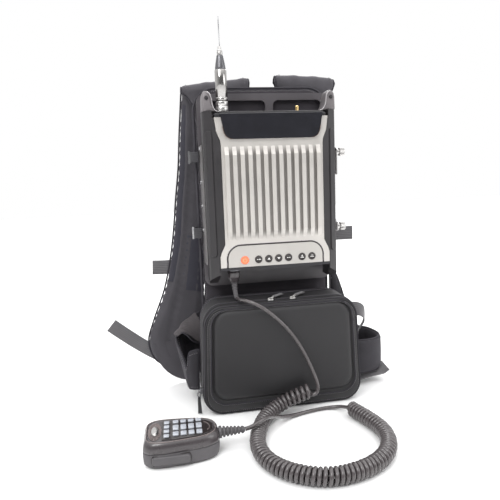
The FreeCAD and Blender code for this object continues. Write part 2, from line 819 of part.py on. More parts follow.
def make_mic_keypad():
    """One silicone sheet with a column of four small keys and four columns of three."""
    top = MIC_TOP - 1.5
    sheet = mic_window(0.6, top - 3.2, top)
    keys = []
    for row in range(4):
        v = 20.5 - row * 13.0
        keys.append(box(29.2, 37.0, v - 4.2, v + 4.2, top, MIC_KEY_TOP))
    for column in range(4):
        u = 46.1 + column * 11.05
        for v, half in ((20.5, 4.2), (3.0, 7.4), (-15.0, 5.6)):
            keys.append(box(u - 4.2, u + 4.2, v - half, v + half, top, MIC_KEY_TOP))
    return place_mic(fuse([sheet] + keys))


def make_mic_emblem():
    """Plain oval plate in the middle of the microphone's speaker grille."""
    disc = cylinder(5.4, (16.5, 0, MIC_TOP), Z, 1.2)
    matrix = FreeCAD.Matrix()
    matrix.A22 = 2.5
    return place_mic(disc.transformGeometry(matrix))


def make_mic_speaker():
    cone = Part.makeCone(9, 13.5, 6, vec(24, 0, 22), Z)
    magnet = cylinder(8, (24, 0, 12), Z, 10)
    return place_mic(fuse([cone, magnet]))


def make_mic_ptt_button():
    return place_mic(ptt_pad(-CLEAR, -41.2, -35.0))


def make_mic_boot():
    steps = (
        (98.0, 10.0, 6.3),
        (107.6, 3.4, 8.8),
        (111.0, 11.0, 7.6),
        (122.0, 12.0, 6.4),
        (134.0, 11.9, 5.2),
    )
    parts = []
    for u, length, radius in steps:
        parts.append(cylinder(radius, (u, 0, MIC_BOOT_Z), X, length))
    return place_mic(fuse(parts))


def make_cord_plug():
    shell = cylinder(9.5, (SOCKET_X, SOCKET_Y, BOOT_TOP), Z, HOUSING_BOTTOM - 3 - BOOT_TOP)
    ring = cylinder(10.4, (SOCKET_X, SOCKET_Y, 222), Z, 8)
    return fuse([shell, ring])


def make_plug_boot():
    """Bending boot: a quarter turn from the plug to the pouch's front edge."""
    centre = vec(SOCKET_X, SOCKET_Y - BOOT_BEND, BOOT_TOP)
    ring = vec(SOCKET_X, SOCKET_Y, BOOT_TOP)
    disc = Part.Face(Part.Wire(Part.makeCircle(3.7, ring, Z)))
    return disc.revolve(centre, X, -90)


def route(points):
    """Straight runs joined by tangent arcs, each as large as its two runs allow."""
    path = [vec(*p) for p in points]
    edges = []
    radii = []
    last = path[0]
    for before, corner, after in zip(path, path[1:], path[2:]):
        back = before - corner
        ahead = after - corner
        half_turn = (math.pi - back.getAngle(ahead)) / 2
        trim = 0.45 * min(back.Length, ahead.Length)
        radii.append(trim / math.tan(half_turn))
        start = corner + back.normalize() * trim
        end = corner + ahead.normalize() * trim
        middle_way = (back + ahead).normalize()
        reach = radii[-1] / math.cos(half_turn) - radii[-1]
        middle = corner + middle_way * reach
        edges.append(Part.LineSegment(last, start).toShape())
        edges.append(Part.Arc(start, middle, end).toShape())
        last = end
    edges.append(Part.LineSegment(last, path[-1]).toShape())
    return Part.Wire(edges), radii


def make_tube(name, points, diameter):
    wire, radii = route(points)
    start = vec(*points[0])
    along = vec(*points[1]) - start
    disc = Part.Wire(Part.makeCircle(diameter / 2, start, along))
    tube = wire.makePipeShell([disc], True, True)
    expected = math.pi * diameter ** 2 / 4 * wire.Length
    smallest = min(radii)
    print(name, "length", round(wire.Length, 1), "least radius", round(smallest, 1),
          "volume ratio", round(tube.Volume / expected, 3))
    return tube


def main():
    nodes = {
        "front_casting": make_front_casting(),
        "badge_panel": make_badge_panel(),
        "control_panel": make_control_panel(),
        "button_mat": make_button_mat(),
        "main_board": make_main_board(),
        "duplexer": make_duplexer(),
        "rear_housing": make_rear_housing(),
        "casing_screws": make_casing_screws(),
        "top_plate": make_top_plate(),
        "side_bumpers": Part.makeCompound([make_bumper(), mirrored(make_bumper())]),
        "bumper_grips": Part.makeCompound([make_grip_pad(), mirrored(make_grip_pad())]),
        "bumper_ears": Part.makeCompound([make_ear(), mirrored(make_ear())]),
        "antenna_connector": make_antenna_connector(),
        "antenna_nut": make_antenna_nut(),
        "antenna_body": make_antenna_body(),
        "antenna_cone": make_antenna_cone(),
        "antenna_bushing": make_antenna_bushing(),
        "antenna_whip": make_antenna_whip(),
        "gps_connector": make_gps_connector(),
        "mic_socket": make_mic_socket(),
        "power_button": make_key(POWER_X, POWER_RADIUS),
        "side_brackets": Part.makeCompound([make_side_bracket(), mirrored(make_side_bracket())]),
        "bracket_screws": make_bracket_screws(),
        "bolt_plates": make_bolt_plates(),
        "thumb_bolts": make_thumb_bolts(),
        "carrier_plate": make_carrier_plate(),
        "back_pad": make_back_pad(),
        "shoulder_strap_left": make_shoulder_strap_left(),
        "shoulder_strap_right": make_shoulder_strap_right(),
        "harness_webbing": make_harness_webbing(),
        "ladder_locks": make_ladder_locks(),
        "hip_wing_right": make_wing(RIGHT_WING),
        "hip_wing_left": make_wing(LEFT_WING),
        "pouch_front_shell": make_pouch_front_shell(),
        "pouch_back_shell": make_pouch_back_shell(),
        "zip_chain": make_zip_chain(),
        "battery_pack": make_battery_pack(),
        "zip_slider_left": make_zip_slider(ZIP_SLIDER_X[0]),
        "zip_slider_right": make_zip_slider(ZIP_SLIDER_X[1]),
        "zip_pull_left": make_zip_pull(ZIP_SLIDER_X[0]),
        "zip_pull_right": make_zip_pull(ZIP_SLIDER_X[1]),
        "side_pull": make_side_pull(),
        "mic_rear_cover": make_mic_rear_cover(),
        "mic_front_cover": make_mic_front_cover(),
        "mic_keypad": make_mic_keypad(),
        "mic_emblem": make_mic_emblem(),
        "mic_speaker": make_mic_speaker(),
        "mic_ptt_button": make_mic_ptt_button(),
        "mic_boot": make_mic_boot(),
        "cord_plug": make_cord_plug(),
        "plug_boot": make_plug_boot(),
        "cord_lead": make_tube("cord_lead", LEAD_POINTS, WIRE),
        "cord_coil": make_tube("cord_coil", COIL_POINTS, COIL),
        "cord_tail": make_tube("cord_tail", TAIL_POINTS, WIRE),
    }
    for number, x in enumerate(KEY_X, 1):
        nodes["function_key_%d" % number] = make_key(x, KEY_RADIUS)
    os.makedirs("parts", exist_ok=True)
    for name, shape in nodes.items():
        if not shape.isValid():
            print("not valid:", name)
        shape.exportStep("parts/%s.step" % name)
    print(len(nodes), "nodes")


main()
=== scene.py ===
import math

import bpy
import bmesh
import numpy as np
from mathutils import Matrix, Vector
from mathutils.kdtree import KDTree


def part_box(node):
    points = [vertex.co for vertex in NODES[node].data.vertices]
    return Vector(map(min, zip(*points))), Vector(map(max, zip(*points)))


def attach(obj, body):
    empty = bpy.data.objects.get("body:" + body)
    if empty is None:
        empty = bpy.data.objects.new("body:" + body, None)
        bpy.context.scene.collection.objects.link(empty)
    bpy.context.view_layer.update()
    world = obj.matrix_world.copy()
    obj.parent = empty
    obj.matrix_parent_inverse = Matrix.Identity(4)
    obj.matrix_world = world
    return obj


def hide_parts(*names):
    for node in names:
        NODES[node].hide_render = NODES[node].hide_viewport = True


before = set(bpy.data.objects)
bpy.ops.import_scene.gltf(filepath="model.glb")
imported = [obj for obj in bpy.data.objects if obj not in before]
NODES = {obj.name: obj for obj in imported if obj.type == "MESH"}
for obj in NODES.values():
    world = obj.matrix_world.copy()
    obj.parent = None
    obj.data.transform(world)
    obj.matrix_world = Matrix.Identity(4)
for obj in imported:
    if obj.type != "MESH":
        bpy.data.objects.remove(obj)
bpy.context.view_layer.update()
MM = 0.001
FLOOR_GAP = 0.1


# ---------------------------------------------------------------- mesh helpers

def node_box(name):
    """Lowest and highest corner of a CAD node, in millimetres."""
    low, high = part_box(name)
    return np.array(low) / MM, np.array(high) / MM


def circle_angles(steps):
    return [2 * math.pi * i / steps for i in range(steps)]


def corner_arcs(x0, x1, y0, y1, radius, steps):
    """The four corner arcs of a rounded rectangle, in order round it, with steps points each."""
    arcs = []
    for x, y, start in ((x1 - radius, y1 - radius, 0), (x0 + radius, y1 - radius, 90),
                        (x0 + radius, y0 + radius, 180), (x1 - radius, y0 + radius, 270)):
        angles = [math.radians(start + 90 * i / (steps - 1)) for i in range(steps)]
        arcs.append([(x + radius * math.cos(a), y + radius * math.sin(a)) for a in angles])
    return arcs


def mesh_object(name, verts, faces, body="root"):
    """An object from points in millimetres."""
    mesh = bpy.data.meshes.new(name)
    mesh.from_pydata([tuple(c * MM for c in v) for v in verts], [], faces)
    mesh.validate()
    bm = bmesh.new()
    bm.from_mesh(mesh)
    bmesh.ops.recalc_face_normals(bm, faces=bm.faces)
    bm.to_mesh(mesh)
    bm.free()
    mesh.shade_smooth()
    obj = bpy.data.objects.new(name, mesh)
    bpy.context.scene.collection.objects.link(obj)
    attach(obj, body)
    return obj


def join_parts(parts):
    """One list of points and faces from several."""
    verts = []
    faces = []
    for part_verts, part_faces in parts:
        start = len(verts)
        verts.extend(part_verts)
        faces.extend([tuple(start + i for i in face) for face in part_faces])
    return verts, faces


def loft(rings, cap_start=True, cap_end=True):
    """Quads between rings of the same number of points."""
    count = len(rings[0])
    verts = [p for ring in rings for p in ring]
    faces = []
    for r in range(len(rings) - 1):
        for i in range(count):
            j = (i + 1) % count
            a = r * count
            b = a + count
            faces.append((a + i, a + j, b + j, b + i))
    if cap_start:
        faces.append(tuple(range(count - 1, -1, -1)))
    if cap_end:
        last = (len(rings) - 1) * count
        faces.append(tuple(range(last, last + count)))
    return verts, faces


def frames_along(points, closed=False, start_up=None):
    """A steady side and up direction at each point of a path."""
    points = np.array(points, float)
    count = len(points)
    if closed:
        tangents = np.roll(points, -1, 0) - np.roll(points, 1, 0)
    else:
        tangents = np.gradient(points, axis=0)
    tangents /= np.linalg.norm(tangents, axis=1)[:, None]
    guess = np.array(start_up if start_up is not None else (0, 0, 1), float)
    if abs(np.dot(guess, tangents[0])) > 0.95:
        guess = np.array((0, 1, 0), float)
    side = np.cross(tangents[0], guess)
    side /= np.linalg.norm(side)
    sides = [side]
    for i in range(1, count):
        side = sides[-1] - np.dot(sides[-1], tangents[i]) * tangents[i]
        sides.append(side / np.linalg.norm(side))
    sides = np.array(sides)
    return points, tangents, sides, np.cross(sides, tangents)


def tube(points, radius, sides=8, closed=False):
    """A round tube; radius is one number or one for each point."""
    points, _, side, up = frames_along(points, closed)
    radii = np.full(len(points), radius, float) if np.isscalar(radius) else np.array(radius)
    rings = []
    for k in range(len(points)):
        ring = []
        for a in circle_angles(sides):
            ring.append(tuple(points[k] + radii[k] * (math.cos(a) * side[k] + math.sin(a) * up[k])))
        rings.append(ring)
    if closed:
        verts, faces = loft(rings, False, False)
        last = (len(rings) - 1) * sides
        for i in range(sides):
            j = (i + 1) % sides
            faces.append((last + i, last + j, j, i))
        return verts, faces
    return loft(rings)


def about(axis, centre, radius, angle, height):
    """A point at a radius and angle round an axis through centre."""
    c = radius * math.cos(angle)
    s = radius * math.sin(angle)
    place = {"z": (c, s, height), "x": (height, c, s), "y": (c, height, s)}[axis]
    return tuple(p + q for p, q in zip(place, centre))


def lathe(profile, centre, axis="z", steps=48):
    """Turns (radius, height) points about an axis through centre."""
    rings = []
    for radius, height in profile:
        rings.append([about(axis, centre, radius, a, height) for a in circle_angles(steps)])
    return loft(rings)


def block(x0, x1, y0, y1, z0, z1):
    verts = [(x, y, z) for x in (x0, x1) for y in (y0, y1) for z in (z0, z1)]
    faces = [(0, 1, 3, 2), (4, 6, 7, 5), (0, 4, 5, 1), (2, 3, 7, 6), (0, 2, 6, 4), (1, 5, 7, 3)]
    return verts, faces


def smooth_path(points, steps=10, closed=False):
    """Points along a curve that passes through the given ones."""
    p = [np.array(q, float) for q in points]
    count = len(p)
    out = []
    spans = count if closed else count - 1
    for i in range(spans):
        a = p[(i - 1) % count] if closed or i > 0 else 2 * p[0] - p[1]
        b = p[i]
        c = p[(i + 1) % count]
        d = p[(i + 2) % count] if closed or i + 2 < count else 2 * p[-1] - p[-2]
        for k in range(steps):
            t = k / steps
            out.append(0.5 * (2 * b + (c - a) * t + (2 * a - 5 * b + 4 * c - d) * t ** 2
                              + (3 * b - a - 3 * c + d) * t ** 3))
    if not closed:
        out.append(p[-1])
    return np.array(out)


def nurbs_points(name, points, resolution=16):
    """Points read from the smooth NURBS line whose control points these are."""
    curve = bpy.data.curves.new(name, "CURVE")
    curve.dimensions = "3D"
    curve.resolution_u = resolution
    spline = curve.splines.new("NURBS")
    spline.points.add(len(points) - 1)
    for control, point in zip(spline.points, points):
        control.co = (*[c * MM for c in point], 1)
    spline.order_u = 3
    spline.use_endpoint_u = True
    holder = bpy.data.objects.new(name, curve)
    bpy.context.scene.collection.objects.link(holder)
    mesh = bpy.data.meshes.new_from_object(holder)
    found = np.array([tuple(v.co) for v in mesh.vertices]) / MM
    bpy.data.objects.remove(holder)
    bpy.data.curves.remove(curve)
    bpy.data.meshes.remove(mesh)
    return found


def resample(points, count):
    """The same line as count evenly spaced points."""
    points = np.array(points, float)
    lengths = np.linalg.norm(np.diff(points, axis=0), axis=1)
    along = np.concatenate([[0], np.cumsum(lengths)])
    want = np.linspace(0, along[-1], count)
    return np.stack([np.interp(want, along, points[:, k]) for k in range(3)], axis=1)


def line_length(points):
    return float(np.linalg.norm(np.diff(np.array(points), axis=0), axis=1).sum())


def add_bevel(obj, width, segments=2, angle=32):
    modifier = obj.modifiers.new("bevel", "BEVEL")
    modifier.width = width * MM
    modifier.segments = segments
    modifier.limit_method = "ANGLE"
    modifier.angle_limit = math.radians(angle)
    modifier.harden_normals = True


def closed_tube(line, radius, sides=8):
    return tube(smooth_path(line, 2, True), radius, sides, True)


def subdivide(obj):
    modifier = obj.modifiers.new("smooth", "SUBSURF")
    modifier.levels = 1
    modifier.render_levels = 1


# ------------------------------------------------------------------- materials

class Maker:
    """A node material with short calls for the few node kinds that are used."""

    def __init__(self, name, colour, rough, metallic=0.0, **more):
        self.material = bpy.data.materials.new(name)
        self.material.use_nodes = True
        self.nodes = self.material.node_tree.nodes
        self.links = self.material.node_tree.links
        self.shader = self.nodes["Principled BSDF"]
        self.shader.inputs["Base Color"].default_value = (*colour, 1)
        self.shader.inputs["Roughness"].default_value = rough
        self.shader.inputs["Metallic"].default_value = metallic
        for key, value in more.items():
            self.shader.inputs[key.replace("_", " ")].default_value = value
        self.place = self.add("ShaderNodeTexCoord").outputs["Object"]
        self.height = None

    def add(self, kind, **settings):
        node = self.nodes.new(kind)
        for key, value in settings.items():
            setattr(node, key, value)
        return node

    def link(self, source, node, socket):
        self.links.new(source, node.inputs[socket])

    def noise(self, scale, detail=3.0, stretch=(1, 1, 1)):
        mapping = self.add("ShaderNodeMapping")
        mapping.inputs["Scale"].default_value = stretch
        self.link(self.place, mapping, "Vector")
        node = self.add("ShaderNodeTexNoise")
        node.inputs["Scale"].default_value = scale
        node.inputs["Detail"].default_value = detail
        self.link(mapping.outputs[0], node, "Vector")
        return node.outputs["Fac"]

    def wave(self, scale, direction, source=None, distortion=0.0):
        node = self.add("ShaderNodeTexWave", bands_direction=direction)
        node.inputs["Scale"].default_value = scale
        node.inputs["Distortion"].default_value = distortion
        self.link(source if source is not None else self.place, node, "Vector")
        return node.outputs["Fac"]

    def ramp(self, source, stops):
        node = self.add("ShaderNodeValToRGB")
        self.link(source, node, "Fac")
        elements = node.color_ramp.elements
        while len(elements) < len(stops):
            elements.new(0.5)
        for element, (position, colour) in zip(elements, stops):
            element.position = position
            element.color = (*colour, 1) if len(colour) == 3 else colour
        return node.outputs["Color"]

    def grey_ramp(self, source, low, high, start=0.3, end=0.7):
        return self.ramp(source, ((start, (low,) * 3), (end, (high,) * 3)))

    def math(self, operation, a, b):
        node = self.add("ShaderNodeMath", operation=operation)
        for i, value in enumerate((a, b)):
            if isinstance(value, (int, float)):
                node.inputs[i].default_value = value
            else:
                self.links.new(value, node.inputs[i])
        return node.outputs[0]

    def fade(self, source, none, full):
        """Smooth step from 0 where the source is none to 1 where it is full."""
        node = self.add("ShaderNodeMapRange", interpolation_type="SMOOTHSTEP")
        node.inputs["From Min"].default_value = none
        node.inputs["From Max"].default_value = full
        self.link(source, node, "Value")
        return node.outputs[0]

    def bump(self, source, strength, distance):
        """Adds a bump, on top of any that is there."""
        node = self.add("ShaderNodeBump")
        node.inputs["Strength"].default_value = strength
        node.inputs["Distance"].default_value = distance * MM
        self.link(source, node, "Height")
        if self.height is not None:
            self.link(self.height, node, "Normal")
        self.height = node.outputs["Normal"]
        self.link(self.height, self.shader, "Normal")

    def colour(self, source):
        self.link(source, self.shader, "Base Color")

    def rough(self, source):
        self.link(source, self.shader, "Roughness")


def scaled(colour, factor):
    return tuple(min(1.0, c * factor) for c in colour)


def painted(name, colour, rough=0.42, metallic=0.0, grain=1400, depth=0.03, coat=0.0, spread=0.12):
    """Sprayed paint or moulded plastic: fine grain and a faint drift of tone."""
    m = Maker(name, colour, rough, metallic, Coat_Weight=coat, Coat_Roughness=0.12)
    drift = m.noise(18, 4)
    m.colour(m.ramp(drift, ((0.3, scaled(colour, 1 - spread)), (0.7, scaled(colour, 1 + spread)))))
    m.rough(m.grey_ramp(m.noise(60, 5), rough * 0.85, min(1, rough * 1.2)))
    m.bump(m.noise(grain, 2), 0.5, depth)
    return m.material


def casting_paint(name, colour, valley_shade):
    """Silver paint with painted shade that darkens it down between the fins."""
    m = Maker(name, colour, 0.34, 0.5, Coat_Weight=0.15, Coat_Roughness=0.12)
    split = m.add("ShaderNodeSeparateXYZ")
    m.link(m.place, split, 0)
    # painted shade: points sunk between the fins, inside the finned field, take the darker valley colour
    sink = m.fade(split.outputs["Y"], -0.0035, -0.0006)
    across = m.fade(m.math("ABSOLUTE", split.outputs["X"], 0.0), 0.0790, 0.0765)
    upright = m.fade(m.math("ABSOLUTE", m.math("SUBTRACT", split.outputs["Z"], 0.365), 0.0), 0.077, 0.062)
    valley_shade_mask = m.math("MULTIPLY", sink, m.math("MULTIPLY", across, upright))
    mix = m.add("ShaderNodeMix", data_type="RGBA")
    m.links.new(valley_shade_mask, mix.inputs["Factor"])
    drift = m.noise(18, 4)
    m.links.new(m.ramp(drift, ((0.3, scaled(colour, 0.96)), (0.7, scaled(colour, 1.03)))), mix.inputs[6])
    m.links.new(m.ramp(drift, ((0.3, scaled(valley_shade, 0.92)), (0.7, scaled(valley_shade, 1.08)))), mix.inputs[7])
    m.colour(mix.outputs[2])
    m.rough(m.grey_ramp(m.noise(60, 5), 0.29, 0.41))
    m.bump(m.noise(1600, 2), 0.5, 0.02)
    return m.material


def metal(name, colour, rough=0.3, stretch=(1, 1, 30), grain=220, depth=0.01):
    """Turned or brushed metal: fine lines one way, blotchy roughness."""
    m = Maker(name, colour, rough, 1.0)
    lines = m.noise(grain, 3, stretch)
    m.colour(m.ramp(lines, ((0.3, scaled(colour, 0.9)), (0.7, scaled(colour, 1.05)))))
    m.rough(m.grey_ramp(m.noise(90, 4), rough * 0.8, rough * 1.3))
    m.bump(lines, 0.4, depth)
    return m.material


def woven(name, colour, pitch=0.9, depth=0.12, sheen=0.25, rough=0.85, spread=0.22):
    """Plain-weave nylon: crossing threads, slubs and soft creases."""
    m = Maker(name, colour, rough, 0.0, Sheen_Weight=sheen, Sheen_Roughness=0.5)
    m.shader.inputs["Sheen Tint"].default_value = (*scaled(colour, 6), 1)
    scale = 1000.0 / pitch / (2 * math.pi)
    across = m.wave(scale, "DIAGONAL", distortion=0.6)
    upright = m.wave(scale * 0.9, "Z", distortion=0.6)
    threads = m.math("MULTIPLY", across, upright)
    fuzz = m.noise(900, 3)
    tone = m.math("ADD", m.math("MULTIPLY", threads, 0.6), m.math("MULTIPLY", m.noise(26, 5), 0.5))
    m.colour(m.ramp(tone, ((0.2, scaled(colour, 1 - spread)), (0.75, scaled(colour, 1 + spread * 1.6)))))
    m.bump(m.noise(34, 4), 0.35, 1.2)
    m.bump(threads, 0.6, depth)
    m.bump(fuzz, 0.3, 0.04)
    return m.material


def ribbed_webbing(name, colour, pitch=1.7):
    """Heavy webbing: ribs along its length with a fine cross thread, and selvedges."""
    m = Maker(name, colour, 0.8, 0.0, Sheen_Weight=0.2, Sheen_Roughness=0.5)
    lane = m.add("ShaderNodeAttribute", attribute_name="lane").outputs["Vector"]
    scale = 1000.0 / pitch / (2 * math.pi)
    ribs = m.wave(scale, "X", lane)
    picks = m.wave(scale * 1.6, "Y", lane)
    weave = m.math("MULTIPLY", ribs, m.math("ADD", m.math("MULTIPLY", picks, 0.5), 0.5))
    tone = m.math("ADD", m.math("MULTIPLY", weave, 0.6), m.math("MULTIPLY", m.noise(40, 4), 0.4))
    m.colour(m.ramp(tone, ((0.15, scaled(colour, 0.6)), (0.8, scaled(colour, 1.35)))))
    m.bump(weave, 0.8, 0.25)
    return m.material


def glossy(name, colour, rough=0.08, coat=0.6):
    """Polished black moulding with faint ripple and dust."""
    m = Maker(name, colour, rough, 0.0, Coat_Weight=coat, Coat_Roughness=0.04)
    m.colour(m.ramp(m.noise(40, 5), ((0.35, scaled(colour, 0.8)), (0.75, scaled(colour, 1.3)))))
    m.rough(m.grey_ramp(m.noise(140, 6), rough * 0.7, rough * 2.2))
    m.bump(m.noise(14, 2), 0.1, 0.1)
    return m.material


def key_with_painted_glow(name, colour, painted_glow):
    """Translucent key cap with a painted glow; its tone drifts a little at random."""
    m = Maker(name, colour, 0.35, 0.0, Subsurface_Weight=0.25, Subsurface_Radius=(0.002, 0.002, 0.002))
    # painted glow: the key shines in its own colour though it is no lamp
    m.shader.inputs["Emission Color"].default_value = (*colour, 1)
    m.shader.inputs["Emission Strength"].default_value = painted_glow
    m.colour(m.ramp(m.noise(120, 3), ((0.3, scaled(colour, 0.9)), (0.7, scaled(colour, 1.06)))))
    m.bump(m.noise(500, 2), 0.2, 0.02)
    return m.material


# each material: the function that makes it and the values it is given
LOOKS = {
    # the casting's silver paint, then the darker colour of the painted shade in the hollows between its fins
    "casting_paint": (casting_paint, (0.585, 0.56, 0.53), (0.27, 0.255, 0.24)),
    "silver_paint": (painted, (0.51, 0.49, 0.465), 0.36, 0.55, 1600, 0.02, 0.15, 0.04),
    "gloss_black": (glossy, (0.012, 0.012, 0.016)),
    "housing_black": (painted, (0.026, 0.025, 0.029), 0.5, 0.0, 900, 0.06),
    "bumper_plastic": (painted, (0.019, 0.017, 0.019), 0.42, 0.0, 1100, 0.05),
    # the bumper's plastic lightened for its horns as painted top light
    "horn_plastic": (painted, (0.145, 0.133, 0.138), 0.40, 0.0, 1100, 0.05),
    "silicone": (painted, (0.02, 0.02, 0.024), 0.6, 0.0, 700, 0.03),
    "board": (painted, (0.015, 0.08, 0.04), 0.35),
    "brushed_metal": (metal, (0.6, 0.6, 0.6)),
    "steel": (metal, (0.46, 0.46, 0.47), 0.22),
    "silver_metal": (metal, (0.56, 0.55, 0.54), 0.28, (1, 1, 1), 500),
    "polished_metal": (metal, (0.42, 0.41, 0.40), 0.13, (1, 1, 1), 500, 0.004),
    "dark_metal": (metal, (0.16, 0.16, 0.17), 0.38),
    "brass": (metal, (0.80, 0.58, 0.26), 0.25),
    # key colours; the last value of the two glowing keys is the strength of their painted glow
    "key_orange": (key_with_painted_glow, (0.93, 0.19, 0.09), 0.35),
    "key_black": (painted, (0.022, 0.017, 0.017), 0.3, 0.0, 900, 0.02, 0.3),
    "key_white": (key_with_painted_glow, (0.40, 0.42, 0.46), 0.05),
    "legend": (painted, (0.85, 0.84, 0.82), 0.5),
    "bracket_grey": (painted, (0.28, 0.27, 0.27), 0.34, 0.7),
    "pad_fabric": (woven, (0.030, 0.026, 0.032), 1.0),
    "strap_fabric": (woven, (0.050, 0.047, 0.054), 0.8, 0.12, 0.45),
    "sleeve_fabric": (woven, (0.024, 0.023, 0.034), 0.5, 0.05, 0.2, 0.7),
    "wing_fabric": (woven, (0.024, 0.022, 0.027), 0.8),
    # the left wing's own fabric made lighter: painted light on the lit fold of its flap
    "flap_fabric": (woven, (0.052, 0.046, 0.049), 0.8),
    "piping": (woven, (0.024, 0.022, 0.028), 0.6, 0.06),
    "webbing": (ribbed_webbing, (0.122, 0.118, 0.124)),
    "webbing_black": (ribbed_webbing, (0.022, 0.021, 0.025)),
    "thread": (woven, (0.17, 0.16, 0.17), 0.4, 0.05),
    "pouch_skin": (woven, (0.0150, 0.0142, 0.0158), 0.55, 0.05, 0.14, 0.60, 0.1),
    "zip_tape": (woven, (0.014, 0.013, 0.015), 0.5, 0.05),
    "battery_wrap": (painted, (0.03, 0.07, 0.18), 0.35),
    "mic_plastic": (painted, (0.050, 0.043, 0.046), 0.28, 0.0, 1500, 0.04, 0.4),
    "mic_rubber": (painted, (0.085, 0.080, 0.085), 0.48, 0.0, 900, 0.04),
    "carrier_black": (painted, (0.080, 0.073, 0.080), 0.40, 0.0, 1000, 0.04, 0.1),
    "trim_light": (painted, (0.42, 0.40, 0.41), 0.3, 0.4),
    # light trim colour of the grille rings; on the bezel line and the slot line it is a painted highlight
    "mic_trim": (painted, (0.22, 0.18, 0.175), 0.20, 0.2, 1200, 0.02, 0.5),
    "mark_grey": (painted, (0.40, 0.42, 0.48), 0.5),
    "icon_warm": (painted, (1.0, 0.50, 0.30), 0.4),
    "icon_copper": (painted, (0.16, 0.10, 0.075), 0.3, 0.5),
    "cord_jacket": (painted, (0.070, 0.061, 0.063), 0.24, 0.0, 800, 0.03, 0.5),
}
MATERIALS = {name: make(name, *values) for name, (make, *values) in LOOKS.items()}


def dress(obj, material):
    """Gives a piece its material."""
    obj.data.materials.clear()
    obj.data.materials.append(MATERIALS[material])
    return obj


def dress_node(name, material, bevel, segments):
    """A CAD node that keeps its shape: material and softened edges only."""
    obj = NODES[name]
    obj.data.materials.clear()
    obj.data.materials.append(MATERIALS[material])
    if bevel:
        add_bevel(obj, bevel, segments)


# ------------------------------------------------------------- camera and light

CAMERA_PLACE = (-0.188, -0.822, 0.386)
CAMERA_YAW = 9.88
CAMERA_DROP = 7.9
CAMERA_ROLL = -2.24


def add_camera():
    camera = bpy.data.objects.new("camera", bpy.data.cameras.new("camera"))
    camera.data.lens = 36
    camera.data.sensor_width = 36
    yaw = math.radians(CAMERA_YAW)
    drop = math.radians(CAMERA_DROP)
    roll = math.radians(CAMERA_ROLL)
    ahead = Vector((math.sin(yaw) * math.cos(drop), math.cos(yaw) * math.cos(drop), -math.sin(drop)))
    right = Vector((math.cos(yaw), -math.sin(yaw), 0))
    up = right.cross(ahead)
    tilted_right = right * math.cos(roll) + up * math.sin(roll)
    tilted_up = up * math.cos(roll) - right * math.sin(roll)
    turn = Matrix((tilted_right, tilted_up, -ahead)).transposed()
    camera.matrix_world = Matrix.Translation(CAMERA_PLACE) @ turn.to_4x4()
    bpy.context.scene.collection.objects.link(camera)
    bpy.context.scene.camera = camera


def add_light(name, place, target, size, power):
    data = bpy.data.lights.new(name, "AREA")
    data.shape = "DISK"
    data.size = size
    data.energy = power
    obj = bpy.data.objects.new(name, data)
    obj.location = place
    obj.rotation_euler = (Vector(target) - Vector(place)).to_track_quat("-Z", "Y").to_euler()
    bpy.context.scene.collection.objects.link(obj)


def add_studio():
    world = bpy.data.worlds.new("studio")
    world.use_nodes = True
    nodes, links = world.node_tree.nodes, world.node_tree.links
    direction = nodes.new("ShaderNodeTexCoord")
    split = nodes.new("ShaderNodeSeparateXYZ")
    links.new(direction.outputs["Generated"], split.inputs[0])
    strengths = []
    for axis, low, high, dim, bright in (("Y", -0.9, 0.15, 0.22, 1.0), ("Z", 0.35, 0.8, 0.2, 2.1)):
        scale = nodes.new("ShaderNodeMapRange")
        for key, value in zip(("From Min", "From Max", "To Min", "To Max"), (low, high, dim, bright)):
            scale.inputs[key].default_value = value
        links.new(split.outputs[axis], scale.inputs["Value"])
        strengths.append(scale.outputs[0])
    most = nodes.new("ShaderNodeMath")
    most.operation = "MAXIMUM"
    for i in (0, 1):
        links.new(strengths[i], most.inputs[i])
    links.new(most.outputs[0], nodes["Background"].inputs["Strength"])
    nodes["Background"].inputs["Color"].default_value = (1, 1, 1, 1)
    bpy.context.scene.world = world
    bpy.context.scene.view_settings.view_transform = "Standard"
    add_light("key_light", (-0.9, -1.3, 1.6), (0, 0, 0.3), 0.9, 16)
    add_light("fill_light", (1.5, -0.9, 0.9), (0, 0, 0.3), 1.0, 7)
    add_light("rim_light", (0.4, 1.6, 1.6), (0, 0, 0.35), 1.2, 14)
    verts = [(-6000, -6000, 0), (6000, -6000, 0), (6000, 6000, 0), (-6000, 6000, 0)]
    mesh = bpy.data.meshes.new("floor")
    mesh.from_pydata([tuple(c * MM for c in v) for v in verts], [], [(0, 1, 2, 3)])
    floor = bpy.data.objects.new("floor", mesh)
    bpy.context.scene.collection.objects.link(floor)
    m = Maker("floor", (0.93, 0.93, 0.93), 0.6)
    m.colour(m.ramp(m.noise(2, 2), ((0.3, (0.92, 0.92, 0.92)), (0.7, (0.94, 0.94, 0.94)))))
    mesh.materials.append(m.material)


# ------------------------------------------------------------------- curly cord

WIRE = 6.0
COIL_RADIUS = 9.2
COIL_TURNS = 82
LEAD_POINTS = (
    (-71.0, -4.4, 190.0),
    (-69.5, -17.0, 190.5),
    (-66.5, -33.0, 193.0),
    (-59.0, -48.0, 194.0),
    (-46.0, -55.0, 189.0),
    (-29.0, -56.0, 177.0),
    (-8.0, -56.0, 157.0),
    (9.0, -56.0, 137.0),
    (25.0, -56.0, 111.0),
    (37.0, -56.5, 85.0),
    (45.0, -57.5, 64.0),
    (49.5, -59.0, 50.5),
    (50.5, -60.5, 40.0),
    (47.4, -61.0, 31.4),
    (40.8, -61.0, 29.8),
)
COIL_POINTS = (
    (36.5, -61.0, 38.5),
    (11.5, -61.0, 31.5),
    (-18.0, -62.0, 19.5),
    (-44.0, -80.0, 12.4),
    (-62.0, -118.0, 12.4),
    (-74.0, -162.0, 12.4),
    (-71.0, -203.0, 12.4),
    (-47.0, -240.0, 12.4),
    (-2.0, -264.0, 12.4),
    (51.0, -257.0, 12.4),
    (93.0, -231.0, 12.4),
    (116.0, -188.0, 12.4),
    (115.0, -140.0, 12.4),
    (96.0, -88.0, 12.4),
)
